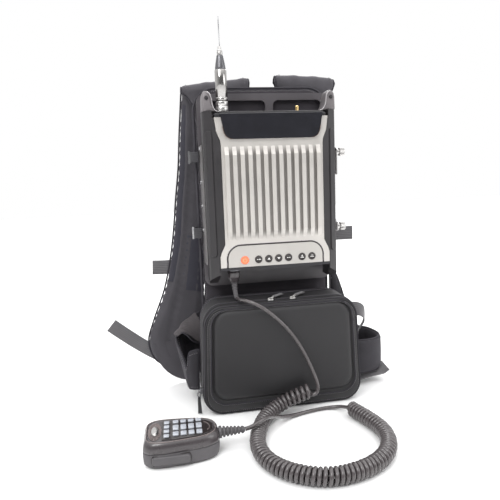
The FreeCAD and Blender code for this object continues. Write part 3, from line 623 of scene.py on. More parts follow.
TAIL_POINTS = (
    (95.8, -87.4, 12.4),
    (91.0, -73.0, 8.5),
    (79.0, -62.0, 4.5),
    (60.0, -59.0, 3.2),
    (32.0, -64.0, 3.2),
    (7.0, -72.0, 4.0),
    (-17.0, -86.0, 10.0),
    (-34.0, -106.0, 23.0),
    (-50.0, -125.0, 33.0),
    (-65.0, -136.0, 32.5),
    (-76.5, -139.6, 27.6),
    (-86.7, -139.8, 26.0),
)
STEPS_PER_TURN = 20


def helix_points():
    """The coil: turns closer together along the floor than where the lead draws them out."""
    axis = resample(nurbs_points("coil_route", COIL_POINTS), COIL_TURNS * STEPS_PER_TURN + 1)
    axis, _, side, up = frames_along(axis, start_up=(0, 0, 1))
    share = np.linspace(0, 1, len(axis))
    opening = 0.28 * np.exp(-(share / 0.16) ** 2)
    pace = 1.0 / (1.0 + opening + 0.03 * np.sin(share * 37.0))
    turn = np.concatenate([[0], np.cumsum((pace[1:] + pace[:-1]) / 2)])
    turn *= 2 * math.pi * COIL_TURNS / turn[-1]
    ease = np.clip(np.minimum(share, 1 - share) * COIL_TURNS / 0.5, 0, 1)
    radius = COIL_RADIUS * (0.25 + 0.75 * ease) + 0.15 * np.sin(turn * 0.37)
    radius[: STEPS_PER_TURN // 2] = COIL_RADIUS
    radius *= 1 + 0.06 * np.exp(-(share / 0.10) ** 2)
    points = []
    for k in range(len(axis)):
        a = turn[k] - math.pi / 2
        points.append(axis[k] + radius[k] * (math.cos(a) * side[k] + math.sin(a) * up[k]))
    return np.array(points)


def add_cord():
    lead = nurbs_points("lead_route", LEAD_POINTS)
    tail = nurbs_points("tail_route", TAIL_POINTS)
    coil = helix_points()
    line = np.concatenate([lead[:-2], coil[1:-1], tail[2:]])
    verts, faces = tube(line, WIRE / 2, 10)
    cord = dress(mesh_object("curly_cord", verts, faces), "cord_jacket")
    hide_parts("cord_lead", "cord_coil", "cord_tail")
    return cord, line, line_length(line) * MM


RING_STEPS = 8


def rounded_ring(half, z0, z1, corner, y):
    """Points round a rectangle with rounded corners, centred on x = 0, at depth y."""
    arcs = corner_arcs(-half, half, z0, z1, max(corner, 1.0), RING_STEPS + 1)
    arcs = [[(x, y, z) for x, z in arc] for arc in arcs]
    ring = []
    for i in range(4):
        ring.extend(arcs[i])
        a = np.array(arcs[i][-1])
        b = np.array(arcs[(i + 1) % 4][0])
        for k in range(1, RING_STEPS):
            ring.append(tuple(a + (b - a) * k / RING_STEPS))
    return ring


def shell_rings(profile, half, z0, z1, corner):
    """Rings of a rounded rectangle drawn in by each (inset, y) of a profile."""
    rings = []
    for inset, y in profile:
        rings.append(rounded_ring(half - inset, z0 + inset, z1 - inset, corner - inset, y))
    return rings


def ribbon(name, points, side, width, thick, body="root", material="webbing", curl=0.0):
    """A flat strap along points; its lane attribute holds (across, along) for the weave."""
    points = np.array(points, float)
    count = len(points)
    side = np.array(side, float)
    sides = np.tile(side, (count, 1)) if side.ndim == 1 else side
    widths = np.full(count, width, float) if np.isscalar(width) else np.array(width, float)
    tangents = np.gradient(points, axis=0)
    tangents /= np.linalg.norm(tangents, axis=1)[:, None]
    sides = sides - (sides * tangents).sum(1)[:, None] * tangents
    sides /= np.linalg.norm(sides, axis=1)[:, None]
    normals = np.cross(tangents, sides)
    along = np.concatenate([[0], np.cumsum(np.linalg.norm(np.diff(points, axis=0), axis=1))])
    across = (-0.5, -0.485, -0.25, 0.0, 0.25, 0.485, 0.5)
    section = [(a, 0.35 if abs(a) == 0.5 else 0.5) for a in across]
    section += [(a, -h) for a, h in reversed(section)]
    rings = []
    lanes = []
    for k in range(count):
        ring = []
        for a, h in section:
            lift = curl * (1 - (2 * a) ** 2)
            ring.append(tuple(points[k] + sides[k] * a * widths[k] + normals[k] * (h * thick + lift)))
            lanes.append((a * widths[k] * MM, along[k] * MM, 0))
        rings.append(ring)
    verts, faces = loft(rings)
    obj = mesh_object(name, verts, faces, body)
    lane = obj.data.attributes.new("lane", "FLOAT_VECTOR", "POINT")
    lane.data.foreach_set("vector", [c for v in lanes for c in v])
    obj.data.set_sharp_from_angle(angle=math.radians(50))
    return dress(obj, material)


def stitch_line(points, length=2.6, gap=1.6, radius=0.32):
    """Short raised threads in a row along a line."""
    count = max(2, int(line_length(points) / (length + gap)))
    dense = resample(points, count * 4 + 1)
    parts = []
    for i in range(count):
        run = dense[i * 4: i * 4 + 3]
        parts.append(tube(run, radius, 4))
    return join_parts(parts)


def seam_object(name, parts, material, body="root"):
    verts, faces = join_parts(parts)
    return dress(mesh_object(name, verts, faces, body), material)


# -------------------------------------------------------------- padded fabric

CLOTH_SETTINGS = {
    "quality": 5, "mass": 0.3, "tension_stiffness": 12, "compression_stiffness": 12,
    "bending_stiffness": 0.4, "use_pressure": True, "uniform_pressure_force": 4.0,
}
CLOTH_FRAMES = 20
STRAP_THICK = 11.5
STRAP_PIPING = 1.6
WING_PIPING = 1.4
STITCH_SHARES = (0.07, 0.93)


def inflate(obj, seams, voxel, cap, hold, keep_clear):
    """Swells a pad as cloth under pressure by up to cap, fading to none within hold of a seam."""
    remesh = obj.modifiers.new("remesh", "REMESH")
    remesh.mode = "VOXEL"
    remesh.voxel_size = voxel * MM
    remesh.use_smooth_shade = True
    graph = bpy.context.evaluated_depsgraph_get()
    mesh = bpy.data.meshes.new_from_object(obj.evaluated_get(graph))
    obj.modifiers.clear()
    materials = list(obj.data.materials)
    obj.data = mesh
    count = len(mesh.vertices)
    before = np.empty(count * 3)
    mesh.vertices.foreach_get("co", before)
    before = before.reshape(-1, 3)
    cloth = obj.modifiers.new("cloth", "CLOTH")
    for key, value in CLOTH_SETTINGS.items():
        setattr(cloth.settings, key, value)
    cloth.settings.effector_weights.gravity = 0
    cloth.collision_settings.use_collision = False
    scene = bpy.context.scene
    for step in range(1, CLOTH_FRAMES + 1):
        scene.frame_set(step)
    graph = bpy.context.evaluated_depsgraph_get()
    swollen = bpy.data.meshes.new_from_object(obj.evaluated_get(graph))
    after = np.empty(count * 3)
    swollen.vertices.foreach_get("co", after)
    move = (after.reshape(-1, 3) - before) / MM
    obj.modifiers.clear()
    bpy.data.meshes.remove(swollen)
    scene.frame_set(1)
    size = np.linalg.norm(move, axis=1)
    move *= (cap * np.tanh(size / cap) / np.maximum(size, 1e-9))[:, None]
    tree = kd_tree(seams)
    near = np.array([tree.find(Vector(p))[2] for p in before]) / MM
    move *= np.clip(near / hold, 0, 1)[:, None]
    after = before + move * MM
    after = keep_clear(after / MM) * MM
    mesh.vertices.foreach_set("co", after.ravel())
    mesh.update()
    for material in materials:
        mesh.materials.append(material)
    mesh.shade_smooth()
    subdivide(obj)


def kd_tree(lines):
    points = [p for line in lines for p in line]
    tree = KDTree(len(points))
    for i, p in enumerate(points):
        tree.insert(Vector(p) * MM, i)
    tree.balance()
    return tree


PAD_PROFILE = (
    (118, 76.0), (80, 75.8), (45, 75.8), (20, 76.0), (8, 77.2), (2.5, 80.0), (0.5, 84.0),
    (0.5, 94.0), (2.5, 98.0), (8, 101.0), (20, 102.4), (45, 102.8), (80, 102.8), (118, 102.8),
)


def add_back_pad():
    """Carrier's back pad: two faces, a gusset, piping on both edges and sewn channels."""
    low, high = node_box("back_pad")
    half = high[0]
    rings = shell_rings(PAD_PROFILE, half, low[2], high[2], 40.0)
    verts, faces = loft(rings)
    pad = dress(mesh_object("back_pad_cover", verts, faces), "pad_fabric")
    front_edge = rounded_ring(half - 1.2, low[2] + 1.6, high[2] - 1.2, 39.0, 79.0)
    back_edge = rounded_ring(half - 1.2, low[2] + 1.6, high[2] - 1.2, 39.0, 99.0)
    channels = []
    for z in (150.0, 250.0, 350.0, 450.0):
        channels.append([(x, 102.6, z) for x in np.linspace(28 - half, half - 28, 60)])
    for x in (-40.0, 40.0):
        channels.append([(x, 102.6, z) for z in np.linspace(40.0, high[2] - 40.0, 120)])

    def keep_clear(points):
        x, y, z = points[:, 0], points[:, 1], points[:, 2]
        behind_plate = (np.abs(x) < 121) & (z > 195) & (z < 541)
        y = np.where(behind_plate, np.maximum(y, 74.4), np.maximum(y, 70.0))
        under_straps = z > 455
        y = np.where(under_straps, np.minimum(y, 102.9), np.minimum(y, 109.0))
        return np.stack([np.clip(x, -half - 3, half + 3), y, np.maximum(z, 0.2)], axis=1)

    inflate(pad, [front_edge, back_edge] + channels, 6.0, 7.0, 22.0, keep_clear)
    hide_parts("back_pad")
    parts = []
    for edge in (front_edge, back_edge):
        verts, faces = closed_tube(edge, 1.9)
        parts.append(([(x, y, max(z, FLOOR_GAP)) for x, y, z in verts], faces))
    seam_object("back_pad_piping", parts, "piping")
    stitches = []
    inset = 7.0
    for y in (75.2, 103.0):
        line = rounded_ring(half - inset, low[2] + inset, high[2] - inset, 40 - inset, y)
        stitches.append(stitch_line(line + line[:1]))
    for channel in channels:
        stitches.append(stitch_line([(x, y + 0.5, z) for x, y, z in channel]))
    seam_object("back_pad_stitching", stitches, "thread")


# shoulder straps: (x, z) of the outer and the inner edge, from the crest down
LEFT_STRAP = (
    ((-139.5, 545.0), (-28.0, 549.0)),
    ((-142.5, 515.0), (-48.0, 517.0)),
    ((-147.0, 470.0), (-74.0, 466.0)),
    ((-152.0, 413.0), (-84.0, 411.0)),
    ((-160.0, 356.0), (-92.0, 356.0)),
    ((-167.0, 300.0), (-99.0, 300.0)),
    ((-176.0, 248.0), (-106.0, 245.0)),
    ((-191.0, 187.0), (-113.0, 180.0)),
    ((-214.0, 130.0), (-118.0, 126.0)),
    ((-227.0, 88.0), (-117.0, 88.0)),
    ((-218.0, 52.0), (-108.0, 62.0)),
    ((-190.0, 31.0), (-98.0, 42.0)),
    ((-152.0, 17.0), (-94.0, 28.0)),
)
RIGHT_STRAP = (
    ((148.0, 555.0), (38.0, 559.0)),
    ((148.0, 512.0), (50.0, 514.0)),
    ((146.0, 470.0), (62.0, 466.0)),
    ((139.0, 413.0), (58.0, 411.0)),
    ((133.0, 356.0), (56.0, 356.0)),
    ((129.0, 300.0), (53.0, 300.0)),
    ((128.0, 245.0), (52.0, 245.0)),
    ((129.0, 183.0), (53.0, 183.0)),
    ((130.0, 122.0), (56.0, 122.0)),
    ((129.0, 84.0), (60.0, 84.0)),
    ((127.0, 60.0), (68.0, 58.0)),
    ((118.0, 38.0), (84.0, 36.0)),
)
STRAP_RUN_Y = 130.0
CREST_Y = 119.65
CREST_RADIUS = 10.35


def strap_stations(run, crests, outer_x, inner_x):
    """Edge pairs from the strap's narrow root behind the pad, over the crest and down its run."""
    stations = []
    inward = math.copysign(1.0, inner_x - outer_x)
    for z, drawn in ((478.0, 42.0), (500.0, 32.0), (522.0, 20.0), (540.0, 8.0)):
        outer = np.array((outer_x + inward * drawn, 109.3, z))
        inner = np.array((inner_x - inward * drawn * 0.4, 109.3, z))
        stations.append((outer, inner))
    for i in range(9):
        a = math.pi - math.pi * i / 8
        y = CREST_Y + CREST_RADIUS * math.cos(a)
        rise = CREST_RADIUS * (math.sin(a) - 1) - 6.0
        stations.append((np.array((outer_x, y, crests[0] + rise)), np.array((inner_x, y, crests[1] + rise))))
    for (ox, oz), (ix, iz) in run:
        stations.append((np.array((ox, STRAP_RUN_Y, oz)), np.array((ix, STRAP_RUN_Y, iz))))
    return stations


def padded_band(stations, thick, across=14):
    """A crowned band between two edges, thick in the middle and thin where it is sewn."""
    outer = smooth_path([s[0] for s in stations], 4)
    inner = smooth_path([s[1] for s in stations], 4)
    middle = (outer + inner) / 2
    tangents = np.gradient(middle, axis=0)
    tangents /= np.linalg.norm(tangents, axis=1)[:, None]
    sides = inner - outer
    sides /= np.linalg.norm(sides, axis=1)[:, None]
    normals = np.cross(tangents, sides)
    rings = []
    for k in range(len(middle)):
        top = []
        bottom = []
        for i in range(across + 1):
            t = i / across
            place = outer[k] + (inner[k] - outer[k]) * t
            lens = (1 - abs(2 * t - 1) ** 4) ** 0.5
            half = (0.25 + 0.25 * lens) * thick
            top.append(tuple(place + normals[k] * half))
            bottom.append(tuple(place - normals[k] * half))
        rings.append(top + bottom[::-1])
    verts, faces = loft(rings)
    return verts, faces, outer, inner, normals


def end_lines(outer, inner, count):
    """Lines across a band's two ends, from its outer to its inner edge."""
    return [outer[e] + np.linspace(0, 1, count)[:, None] * (inner[e] - outer[e]) for e in (0, -1)]


def add_shoulder_strap(name, node, run, crests, outer_x, inner_x, quilts):
    """Padded strap with quilting seams at the given shares of its width, piping and stitching."""
    stations = strap_stations(run, crests, outer_x, inner_x)
    verts, faces, outer, inner, normals = padded_band(stations, STRAP_THICK)
    strap = dress(mesh_object(name, verts, faces), "strap_fabric")
    seams = [outer, inner] + end_lines(outer, inner, 20)
    for share in quilts:
        seams.append(outer + (inner - outer) * share)

    def keep_clear(points):
        x, y, z = points[:, 0], points[:, 1], points[:, 2]
        y = np.where(z < 549, np.maximum(y, 103.2), y)
        y = np.where((z < 540) & (y > 117), np.maximum(y, 121.0), y)
        return np.stack([x, np.minimum(y, 137.4), np.maximum(z, 0.5)], axis=1)

    inflate(strap, seams, 3.6, 4.0, 12.0, keep_clear)
    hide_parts(node)
    piping = [tube(line, STRAP_PIPING, 8) for line in [outer, inner] + end_lines(outer, inner, 12)]
    seam_object(name + "_piping", piping, "piping")
    stitches = []
    for share in STITCH_SHARES:
        line = outer + (inner - outer) * share
        for sign in (1, -1):
            stitches.append(stitch_line(line + normals * 3.9 * sign))
    seam_object(name + "_stitching", stitches, "thread")
    return outer, inner, normals


# hip wings: points on the lower and the upper edge, from the pad round to the front
RIGHT_WING = (
    ((127.0, 92.0, 28.0), (127.0, 92.0, 206.0)),
    ((138.0, 93.0, 26.0), (138.0, 93.0, 202.0)),
    ((150.0, 93.0, 25.0), (150.0, 93.0, 170.0)),
    ((163.0, 92.0, 24.0), (163.0, 92.0, 126.0)),
    ((178.0, 89.0, 23.0), (178.0, 89.0, 96.0)),
    ((196.0, 79.0, 22.0), (197.0, 79.0, 91.0)),
    ((207.0, 61.0, 22.0), (208.0, 61.0, 87.0)),
    ((204.0, 42.0, 23.0), (205.0, 42.0, 86.0)),
    ((188.0, 27.0, 24.0), (188.0, 27.0, 86.0)),
    ((167.0, 20.0, 25.0), (167.0, 20.0, 87.0)),
    ((147.0, 18.0, 26.0), (147.0, 18.0, 88.0)),
)
LEFT_WING = (
    ((-127.0, 92.0, 32.0), (-127.0, 92.0, 148.0)),
    ((-142.0, 91.0, 30.0), (-148.0, 90.0, 136.0)),
    ((-154.0, 82.0, 29.0), (-165.0, 78.0, 127.0)),
    ((-158.0, 66.0, 28.0), (-175.0, 64.0, 117.0)),
    ((-158.5, 52.0, 28.0), (-174.0, 51.0, 103.0)),
    ((-159.0, 41.0, 28.0), (-167.5, 41.0, 87.0)),
    ((-158.5, 31.0, 28.0), (-163.0, 32.0, 72.0)),
    ((-157.0, 24.0, 28.0), (-160.0, 24.0, 66.0)),
    ((-152.0, 20.0, 28.0), (-156.0, 19.5, 93.0)),
    ((-146.0, 18.5, 28.0), (-146.0, 17.5, 98.5)),
    ((-141.4, 18.0, 28.0), (-138.6, 17.0, 99.5)),
)


def add_wing(name, body, node, stations, thick, voxel, swell):
    """Hip wing: a padded belt panel that leaves the pad and curls round to the front."""
    rows = [(np.array(low), np.array(high)) for low, high in stations]
    verts, faces, lower, upper, normals = padded_band(rows, thick, 16)
    wing = dress(mesh_object(name, verts, faces, body), "wing_fabric")
    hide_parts(node)
    ends = end_lines(lower, upper, 20)
    middle = lower + (upper - lower) * 0.5
    side = math.copysign(1.0, rows[0][0][0])

    def keep_clear(points):
        x = points[:, 0] * side
        beside_pouch = 140.8 - 0.045 * points[:, 2]
        inside = np.maximum(x, np.where(points[:, 1] > 68, 124.5, beside_pouch))
        return np.stack([inside * side, points[:, 1], points[:, 2]], axis=1)

    inflate(wing, [lower, upper, middle] + ends, voxel, swell, 10.0, keep_clear)
    piping = [tube(line, WING_PIPING, 8) for line in [lower, upper] + ends]
    seam_object(name + "_piping", piping, "piping", body)
    stitches = []
    for share in STITCH_SHARES:
        line = lower + (upper - lower) * share
        for sign in (-1, 1):
            stitches.append(stitch_line(line + normals * 3.4 * sign))
    seam_object(name + "_stitching", stitches, "thread", body)


def add_wing_webbing():
    """Belt webbing on the right wing: a loose loop above it and the end that lies under it."""
    loop = smooth_path([
        (146, 63, 137), (154, 56, 139), (164, 49, 139), (173, 45, 133), (177.5, 46, 122),
        (175, 51, 109), (171, 57, 96), (169, 61, 84)], 6)
    turning = smooth_path([
        (-0.1, 0.1, 1), (-0.1, 0.15, 1), (0.1, 0.3, 0.95), (0.35, 0.7, 0.6), (0.4, 0.9, 0.2),
        (0.4, 0.9, 0.0), (0.4, 0.9, 0.0), (0.4, 0.9, 0.0)], 6)
    ribbon("belt_loop", loop, turning, 25, 1.6, "wing_right")
    tail = smooth_path([(158, 40, 12), (180, 40, 16), (200, 40, 18.5), (208, 40, 20), (217, 39, 26)], 6)
    ribbon("belt_tail_right", tail, (0.05, 1, 0.1), 38, 1.8, "wing_right")


def add_wing_flap():
    """The left wing's upper edge folded forward: a soft flap over the hollow of its curl."""
    fold = smooth_path([
        (-122, 92, 145), (-136, 91, 139), (-150, 88, 132.5),
        (-161, 80, 126), (-169, 70, 120), (-174, 60, 113)], 5)
    lip = smooth_path([
        (-136.4, 55, 99), (-142, 48, 103), (-149, 42, 110),
        (-156, 40, 119), (-165, 43, 124.5), (-175, 52, 116)], 5)
    reach = fold - lip
    # the flap is lighter than the rest of the wing only as painted light on its lit fold
    flap = ribbon("wing_left_flap", (fold + lip) / 2, reach, np.linalg.norm(reach, axis=1), 3.0,
                  "wing_left", "flap_fabric", -6.0)
    dress(flap, "flap_fabric")
    seam_object("wing_left_flap_piping", [tube(lip, 1.3, 8)], "piping", "wing_left")


def add_harness_webbing():
    """Lashings to the ladder locks, chest straps and the left end of the belt."""
    low, high = node_box("ladder_locks")
    heights = (high[2] - 11.0, low[2] + 11.0)
    for side in (-1, 1):
        for z in heights:
            path = smooth_path([
                (118.6 * side, 60, z), (122 * side, 62, z), (130 * side, 70, z), (131.6 * side, 76, z),
                (131.6 * side, 87, z), (129 * side, 93.5, z), (124.4 * side, 100, z)], 5)
            ribbon("lashing_%s_%d" % ("left" if side < 0 else "right", z),
                                   path, (0, 0, 1), 18, 1.6, material="webbing_black")
    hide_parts("harness_webbing")
    chest_left = smooth_path(
        [(-151, 137.6, 228), (-170, 138.2, 228), (-192, 138.6, 228), (-211, 138, 229)], 6)
    ribbon("chest_strap_left", chest_left, (0, 0, 1), 27, 2.0)
    chest_right = smooth_path([(101, 137.6, 273), (130, 138.4, 274), (160, 138.0, 274), (191, 137, 274)], 6)
    ribbon("chest_strap_right", chest_right, (0, 0, 1), 27, 2.0)
    tail = smooth_path([
        (-204, 137.4, 54), (-222, 137.6, 65), (-248, 137.6, 84), (-274, 137.2, 105), (-295, 136.8, 123)], 6)
    ribbon("belt_tail_left", tail, (-0.6, 0, 0.8), 26, 2.0)


def add_strap_panel(name, strap, top, bottom, share, cover, lift, material="sleeve_fabric", curl=1.5):
    """A crowned panel sewn along the outside of a shoulder strap, between two heights."""
    outer, inner, normals = strap
    line = outer + (inner - outer) * share + normals * lift
    rows = [k for k in range(len(line)) if outer[k][1] > 126 and bottom <= outer[k][2] <= top]
    across = (inner - outer)[rows]
    widths = np.linalg.norm(across, axis=1) * cover
    panel = ribbon(name, line[rows], across, widths, 1.8, material=material, curl=curl)
    dress(panel, material)


# ------------------------------------------------------------------------ pouch

POUCH_TAPER = 0.06
POUCH_CORNER = 35.0


def ring_tube(inset, y, radius, half, top):
    """A cord sewn round the pouch, inset from its outline at depth y."""
    line = rounded_ring(half - inset, inset, top - inset, POUCH_CORNER - inset, y)
    return closed_tube(line, radius)


def drawn_in(part, top):
    """The pouch narrows toward its top, where the carrier holds it, and lies flat on the floor."""
    verts, faces = part
    return [(x * (1 - POUCH_TAPER * z / top), y, max(z, FLOOR_GAP)) for x, y, z in verts], faces


def add_pouch():
    """Formed battery pouch: crowned lid in a grooved frame, zip all round, soft rear part."""
    _, high = node_box("pouch_back_shell")
    half, top = high[0], high[2]
    front = -38.0
    lid = ((0.2, -24.2), (0.4, -27.0), (1.2, -30.5), (3.2, -34.0), (6.2, -36.6), (9.0, front + 0.2))
    rings = shell_rings(lid, half, 0, top, POUCH_CORNER)
    for inset, y, drop in (
            (11.0, front - 0.1, 0.25), (13.2, front + 0.1, 0.75), (14.6, front + 1.2, 1.0),
            (15.6, front + 2.6, 1.0), (16.8, front + 1.6, 1.0), (17.8, front - 0.8, 1.0),
            (20.0, front - 3.0, 1.0), (24.0, front - 4.5, 1.0)):
        corner = POUCH_CORNER - inset * 0.62
        rings.append(rounded_ring(half - inset, inset + 10.0 * drop, top - inset + 9.0 * drop, corner, y))
    edge = np.array(rings[-1])
    middle = np.array((0, front - 6.5, (edge[:, 2].min() + edge[:, 2].max()) / 2))
    for share in (0.93, 0.82, 0.65, 0.45, 0.25, 0.08):
        ring = middle + (edge - middle) * (share, 0, share)
        ring[:, 1] = edge[0, 1] + (middle[1] - edge[0, 1]) * (1 - share ** 3)
        rings.append([tuple(p) for p in ring])
    verts, faces = drawn_in(loft(rings, cap_start=False), top)
    shell = dress(mesh_object("pouch_front", verts, faces), "pouch_skin")
    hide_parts("pouch_front_shell")
    subdivide(shell)

    back = ((0.2, -19.8), (0.0, -16.0), (-0.8, 0.0), (-1.2, 16.0), (-0.6, 28.0), (0.6, 31.6), (0.6, 34.6),
            (0.0, 38.0), (0.4, 46.0), (3.0, 54.0), (8.0, 57.6), (30.0, 58.0), (75.0, 58.0))
    rings = shell_rings(back, half, 0, top, POUCH_CORNER)
    for ring in rings:
        for i, (x, y, z) in enumerate(ring):
            sag = 1.6 * math.sin(max(0.0, min(1.0, (y + 20) / 78.0)) * math.pi) * (1 - (x / half) ** 2)
            z = z - sag if z > top - 12 else z
            ring[i] = (x, y, max(z, 0.15))
    verts, faces = drawn_in(loft(rings, cap_start=False), top)
    rear = dress(mesh_object("pouch_rear", verts, faces), "pouch_skin")
    subdivide(rear)
    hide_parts("pouch_back_shell")

    edges = ((0.5, -24.4), (1.3, -23.4), (1.3, -20.6), (0.5, -19.6))
    rings = shell_rings(edges, half, 0, top, POUCH_CORNER)
    verts, faces = drawn_in(loft(rings, False, False), top)
    tape = dress(mesh_object("zip_tape", verts, faces), "zip_tape")
    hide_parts("zip_chain")
    loop = rounded_ring(half - 0.9, 0.9, top - 0.9, 34.0, -22.0)
    dense = resample(smooth_path(loop, 3, True), 430)
    teeth = []
    for i in range(len(dense) - 1):
        along = dense[i + 1] - dense[i]
        along /= np.linalg.norm(along)
        out = np.cross(along, (0, 1, 0))
        shift = 0.55 if i % 2 else -0.55
        centre = dense[i] + np.array((0, shift, 0))
        corners = []
        for a in (-0.5, 0.5):
            for b in (-0.75, 0.75):
                for c in (-0.5, 0.5):
                    corners.append(tuple(centre + along * a + np.array((0, b, 0)) + out * c))
        teeth.append((corners, block(0, 1, 0, 1, 0, 1)[1]))
    seam_object("zip_teeth", [drawn_in(join_parts(teeth), top)], "zip_tape")

    beads = []
    for inset, y, radius in ((2.0, -32.2, 1.1), (0.6, -17.2, 1.1), (0.9, 33.0, 1.9)):
        beads.append(ring_tube(inset, y, radius, half, top))
    line = rounded_ring(half - 12.4, 19.6, top - 5.0, 28.0, front - 0.4)
    beads.append(closed_tube(line, 0.9))
    seam_object("pouch_piping", [drawn_in(join_parts(beads), top)], "piping")
    dark = [ring_tube(4.6, -35.6, 0.8, half, top), ring_tube(0.3, -25.6, 0.9, half, top)]
    seam_object("pouch_edge_seams", [drawn_in(join_parts(dark), top)], "zip_tape")
    stitches = []
    line = rounded_ring(half - 10.6, 17.8, top - 6.8, 29.8, front - 0.3)
    stitches.append(stitch_line(smooth_path(line, 2, True), 1.8, 1.4, 0.3))
    for inset, y in ((6.6, -37.0), (-0.6, -13.8), (-0.6, 28.6), (0.2, 37.6)):
        line = rounded_ring(half - inset, inset, top - inset, POUCH_CORNER - inset, y)
        line = [p for p in line if p[2] > 1.0]
        stitches.append(stitch_line(line, 2.2, 1.4, 0.26))
    seam_object("pouch_stitching", [drawn_in(join_parts(stitches), top)], "thread")


def add_zip_sliders():
    """The main zip's two sliders, each with a wire ring and a fabric pull."""
    for side in ("left", "right"):
        low, high = node_box("zip_slider_" + side)
        x, y, _ = (low + high) / 2
        body = "slider_" + side
        z = low[2]
        outline = [(-5.5, -1.8), (-4.8, -3.6), (-1.5, -4.3), (2.5, -4.0), (5.6, -2.6)]
        outline += [(u, -v) for u, v in reversed(outline)]
        rings = []
        for grow, h in ((-0.6, 0.0), (0.0, 0.5), (0.0, 1.8), (-0.7, 2.5)):
            scale = 1 + grow / 5.0
            rings.append([(x + u * scale, y + v * scale, z + h) for u, v in outline])
        bridge = tube(smooth_path([
            (x - 4.2, y, z + 2.0), (x - 3.0, y, z + 3.4), (x + 0.5, y, z + 3.9),
            (x + 3.4, y, z + 3.4), (x + 4.4, y, z + 2.0)], 4), 0.75, 8)
        slider = seam_object("slider_" + side, [loft(rings), bridge], "silver_metal", body)
        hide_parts("zip_slider_" + side)

        _, high = node_box("zip_pull_" + side)
        tab_body = "tab_" + side
        start = np.array((x + 3.0, -18.6, z + 4.3))
        end = np.array((high[0] - 2.4, high[1] - 2.4, z + 4.2))
        ahead = (end - start) / np.linalg.norm(end - start)
        across = np.cross((0, 0, 1), ahead)
        ring_line = []
        for a in circle_angles(20):
            ring_line.append(tuple(start + ahead * (3.2 - 3.6 * math.cos(a)) + across * 2.5 * math.sin(a)))
        seam_object("pull_ring_" + side, [tube(ring_line, 0.62, 8, True)], "silver_metal", tab_body)
        path = smooth_path([
            start + ahead * 6.2, start + ahead * 12 + (0, 0, 0.5), start + ahead * 19 + (0, 0, 0.4), end], 5)
        tab = ribbon("pull_tab_" + side, path, across, 7.0, 1.7, tab_body, "webbing")
        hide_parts("zip_pull_" + side)


def add_side_pull():
    """Second zip's slider on the pouch's side and its pull, which hangs down."""
    low, high = node_box("side_pull")
    x, y, _ = (low + high) / 2
    top = high[2]
    body = block(-142.6, -136.2, y - 3.6, y + 3.6, top - 3, top + 6)
    slider = mesh_object("side_slider", *body)
    add_bevel(slider, 1.2, 3)
    dress(slider, "dark_metal")
    loop_line = []
    for a in circle_angles(24):
        loop_line.append((x + 2.6 * math.sin(a), y, top - 5.0 + 4.6 * math.cos(a)))
    lug = tube(smooth_path([
        (-142.6, y, top + 4.0), (-144.6, y, top + 2.6),
        (-145.0, y, top - 0.4), (-143.0, y, top - 1.6)], 4), 0.7, 8)
    seam_object("side_lug", [lug], "dark_metal")
    seam_object("side_loop", [tube(loop_line, 0.8, 8, True)], "dark_metal", "side_tab")
    path = smooth_path([(x, y, top - 9.4), (x - 0.2, y, top - 18), (x + 0.1, y, 12), (x, y, low[2] + 0.6)], 5)
    tab = ribbon("side_pull_tab", path, (1, 0, 0), np.linspace(4.6, 7.0, len(path)), 2.4, "side_tab",
                 "webbing_black")
    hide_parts("side_pull")


# -------------------------------------------------------------- hand microphone

MIC_ORIGIN = np.array((-233.0, -136.0, 0.0))
MIC_TURN = -1.5
MIC_LENGTH = 107.0
MIC_SEAM = 22.0
MIC_BOOT_Z = 26.0
EMBLEM_U = 16.5
KEY_COLUMNS = tuple(46.1 + 11.05 * column for column in range(4))
KEY_ROWS = ((20.5, 4.1), (3.0, 7.2), (-15.0, 5.5))
MIC_OUTLINE = (
    (0.0, 23.0),
    (2.6, 30.5),
    (9.0, 35.8),
    (18.0, 38.0),
    (32.0, 38.5),
    (60.0, 36.0),
    (84.0, 32.5),
    (99.0, 26.0),
    (MIC_LENGTH, 15.0),
)


def mic_place(points):
    """From the microphone's own (length, width, height) to the object's frame."""
    a = math.radians(MIC_TURN)
    c, s = math.cos(a), math.sin(a)
    x, y, z = MIC_ORIGIN
    return [(x + u * c - v * s, y + u * s + v * c, z + w) for u, v, w in points]


def mic_ring(inset, height):
    """A smooth plan outline drawn in by inset."""
    upper = []
    for u, v in MIC_OUTLINE:
        scale = (MIC_LENGTH - 2 * inset) / MIC_LENGTH
        upper.append(np.array((inset + u * scale, max(v - inset, 1.0), 0)))
    ring = upper + [p * (1, -1, 1) for p in reversed(upper)]
    smooth = resample(np.vstack([smooth_path(ring, 8, True), ring[:1]]), 121)[:-1]
    return mic_place([(u, v, height) for u, v, _ in smooth])


def mic_oval(u, half_u, half_v, height, steps):
    return mic_place([(u + half_u * math.cos(a), half_v * math.sin(a), height) for a in circle_angles(steps)])


def rounded_bar(u, v, half_u, half_v, corner, z0, z1, edge=0.5, steps=5):
    """A flat key with rounded corners and a softened top edge."""
    def outline(grow, height):
        hu, hv = half_u + grow, half_v + grow
        radius = max(min(corner + grow, hu, hv), 0.1)
        arcs = corner_arcs(u - hu, u + hu, v - hv, v + hv, radius, steps)
        return mic_place([(a, b, height) for arc in arcs for a, b in arc])
    levels = ((0, z0), (0, z1 - edge), (-edge * 0.35, z1 - edge * 0.3), (-edge, z1))
    return loft([outline(grow, height) for grow, height in levels])


def talk_pad_outline(radius):
    """(Length, height) points round the talk pad; radius rounds its corners and sets its size."""
    arcs = corner_arcs(17 - radius, 61 + radius, 11.4 - radius, 15.6 + radius, radius, 7)
    return [point for arc in arcs for point in arc]


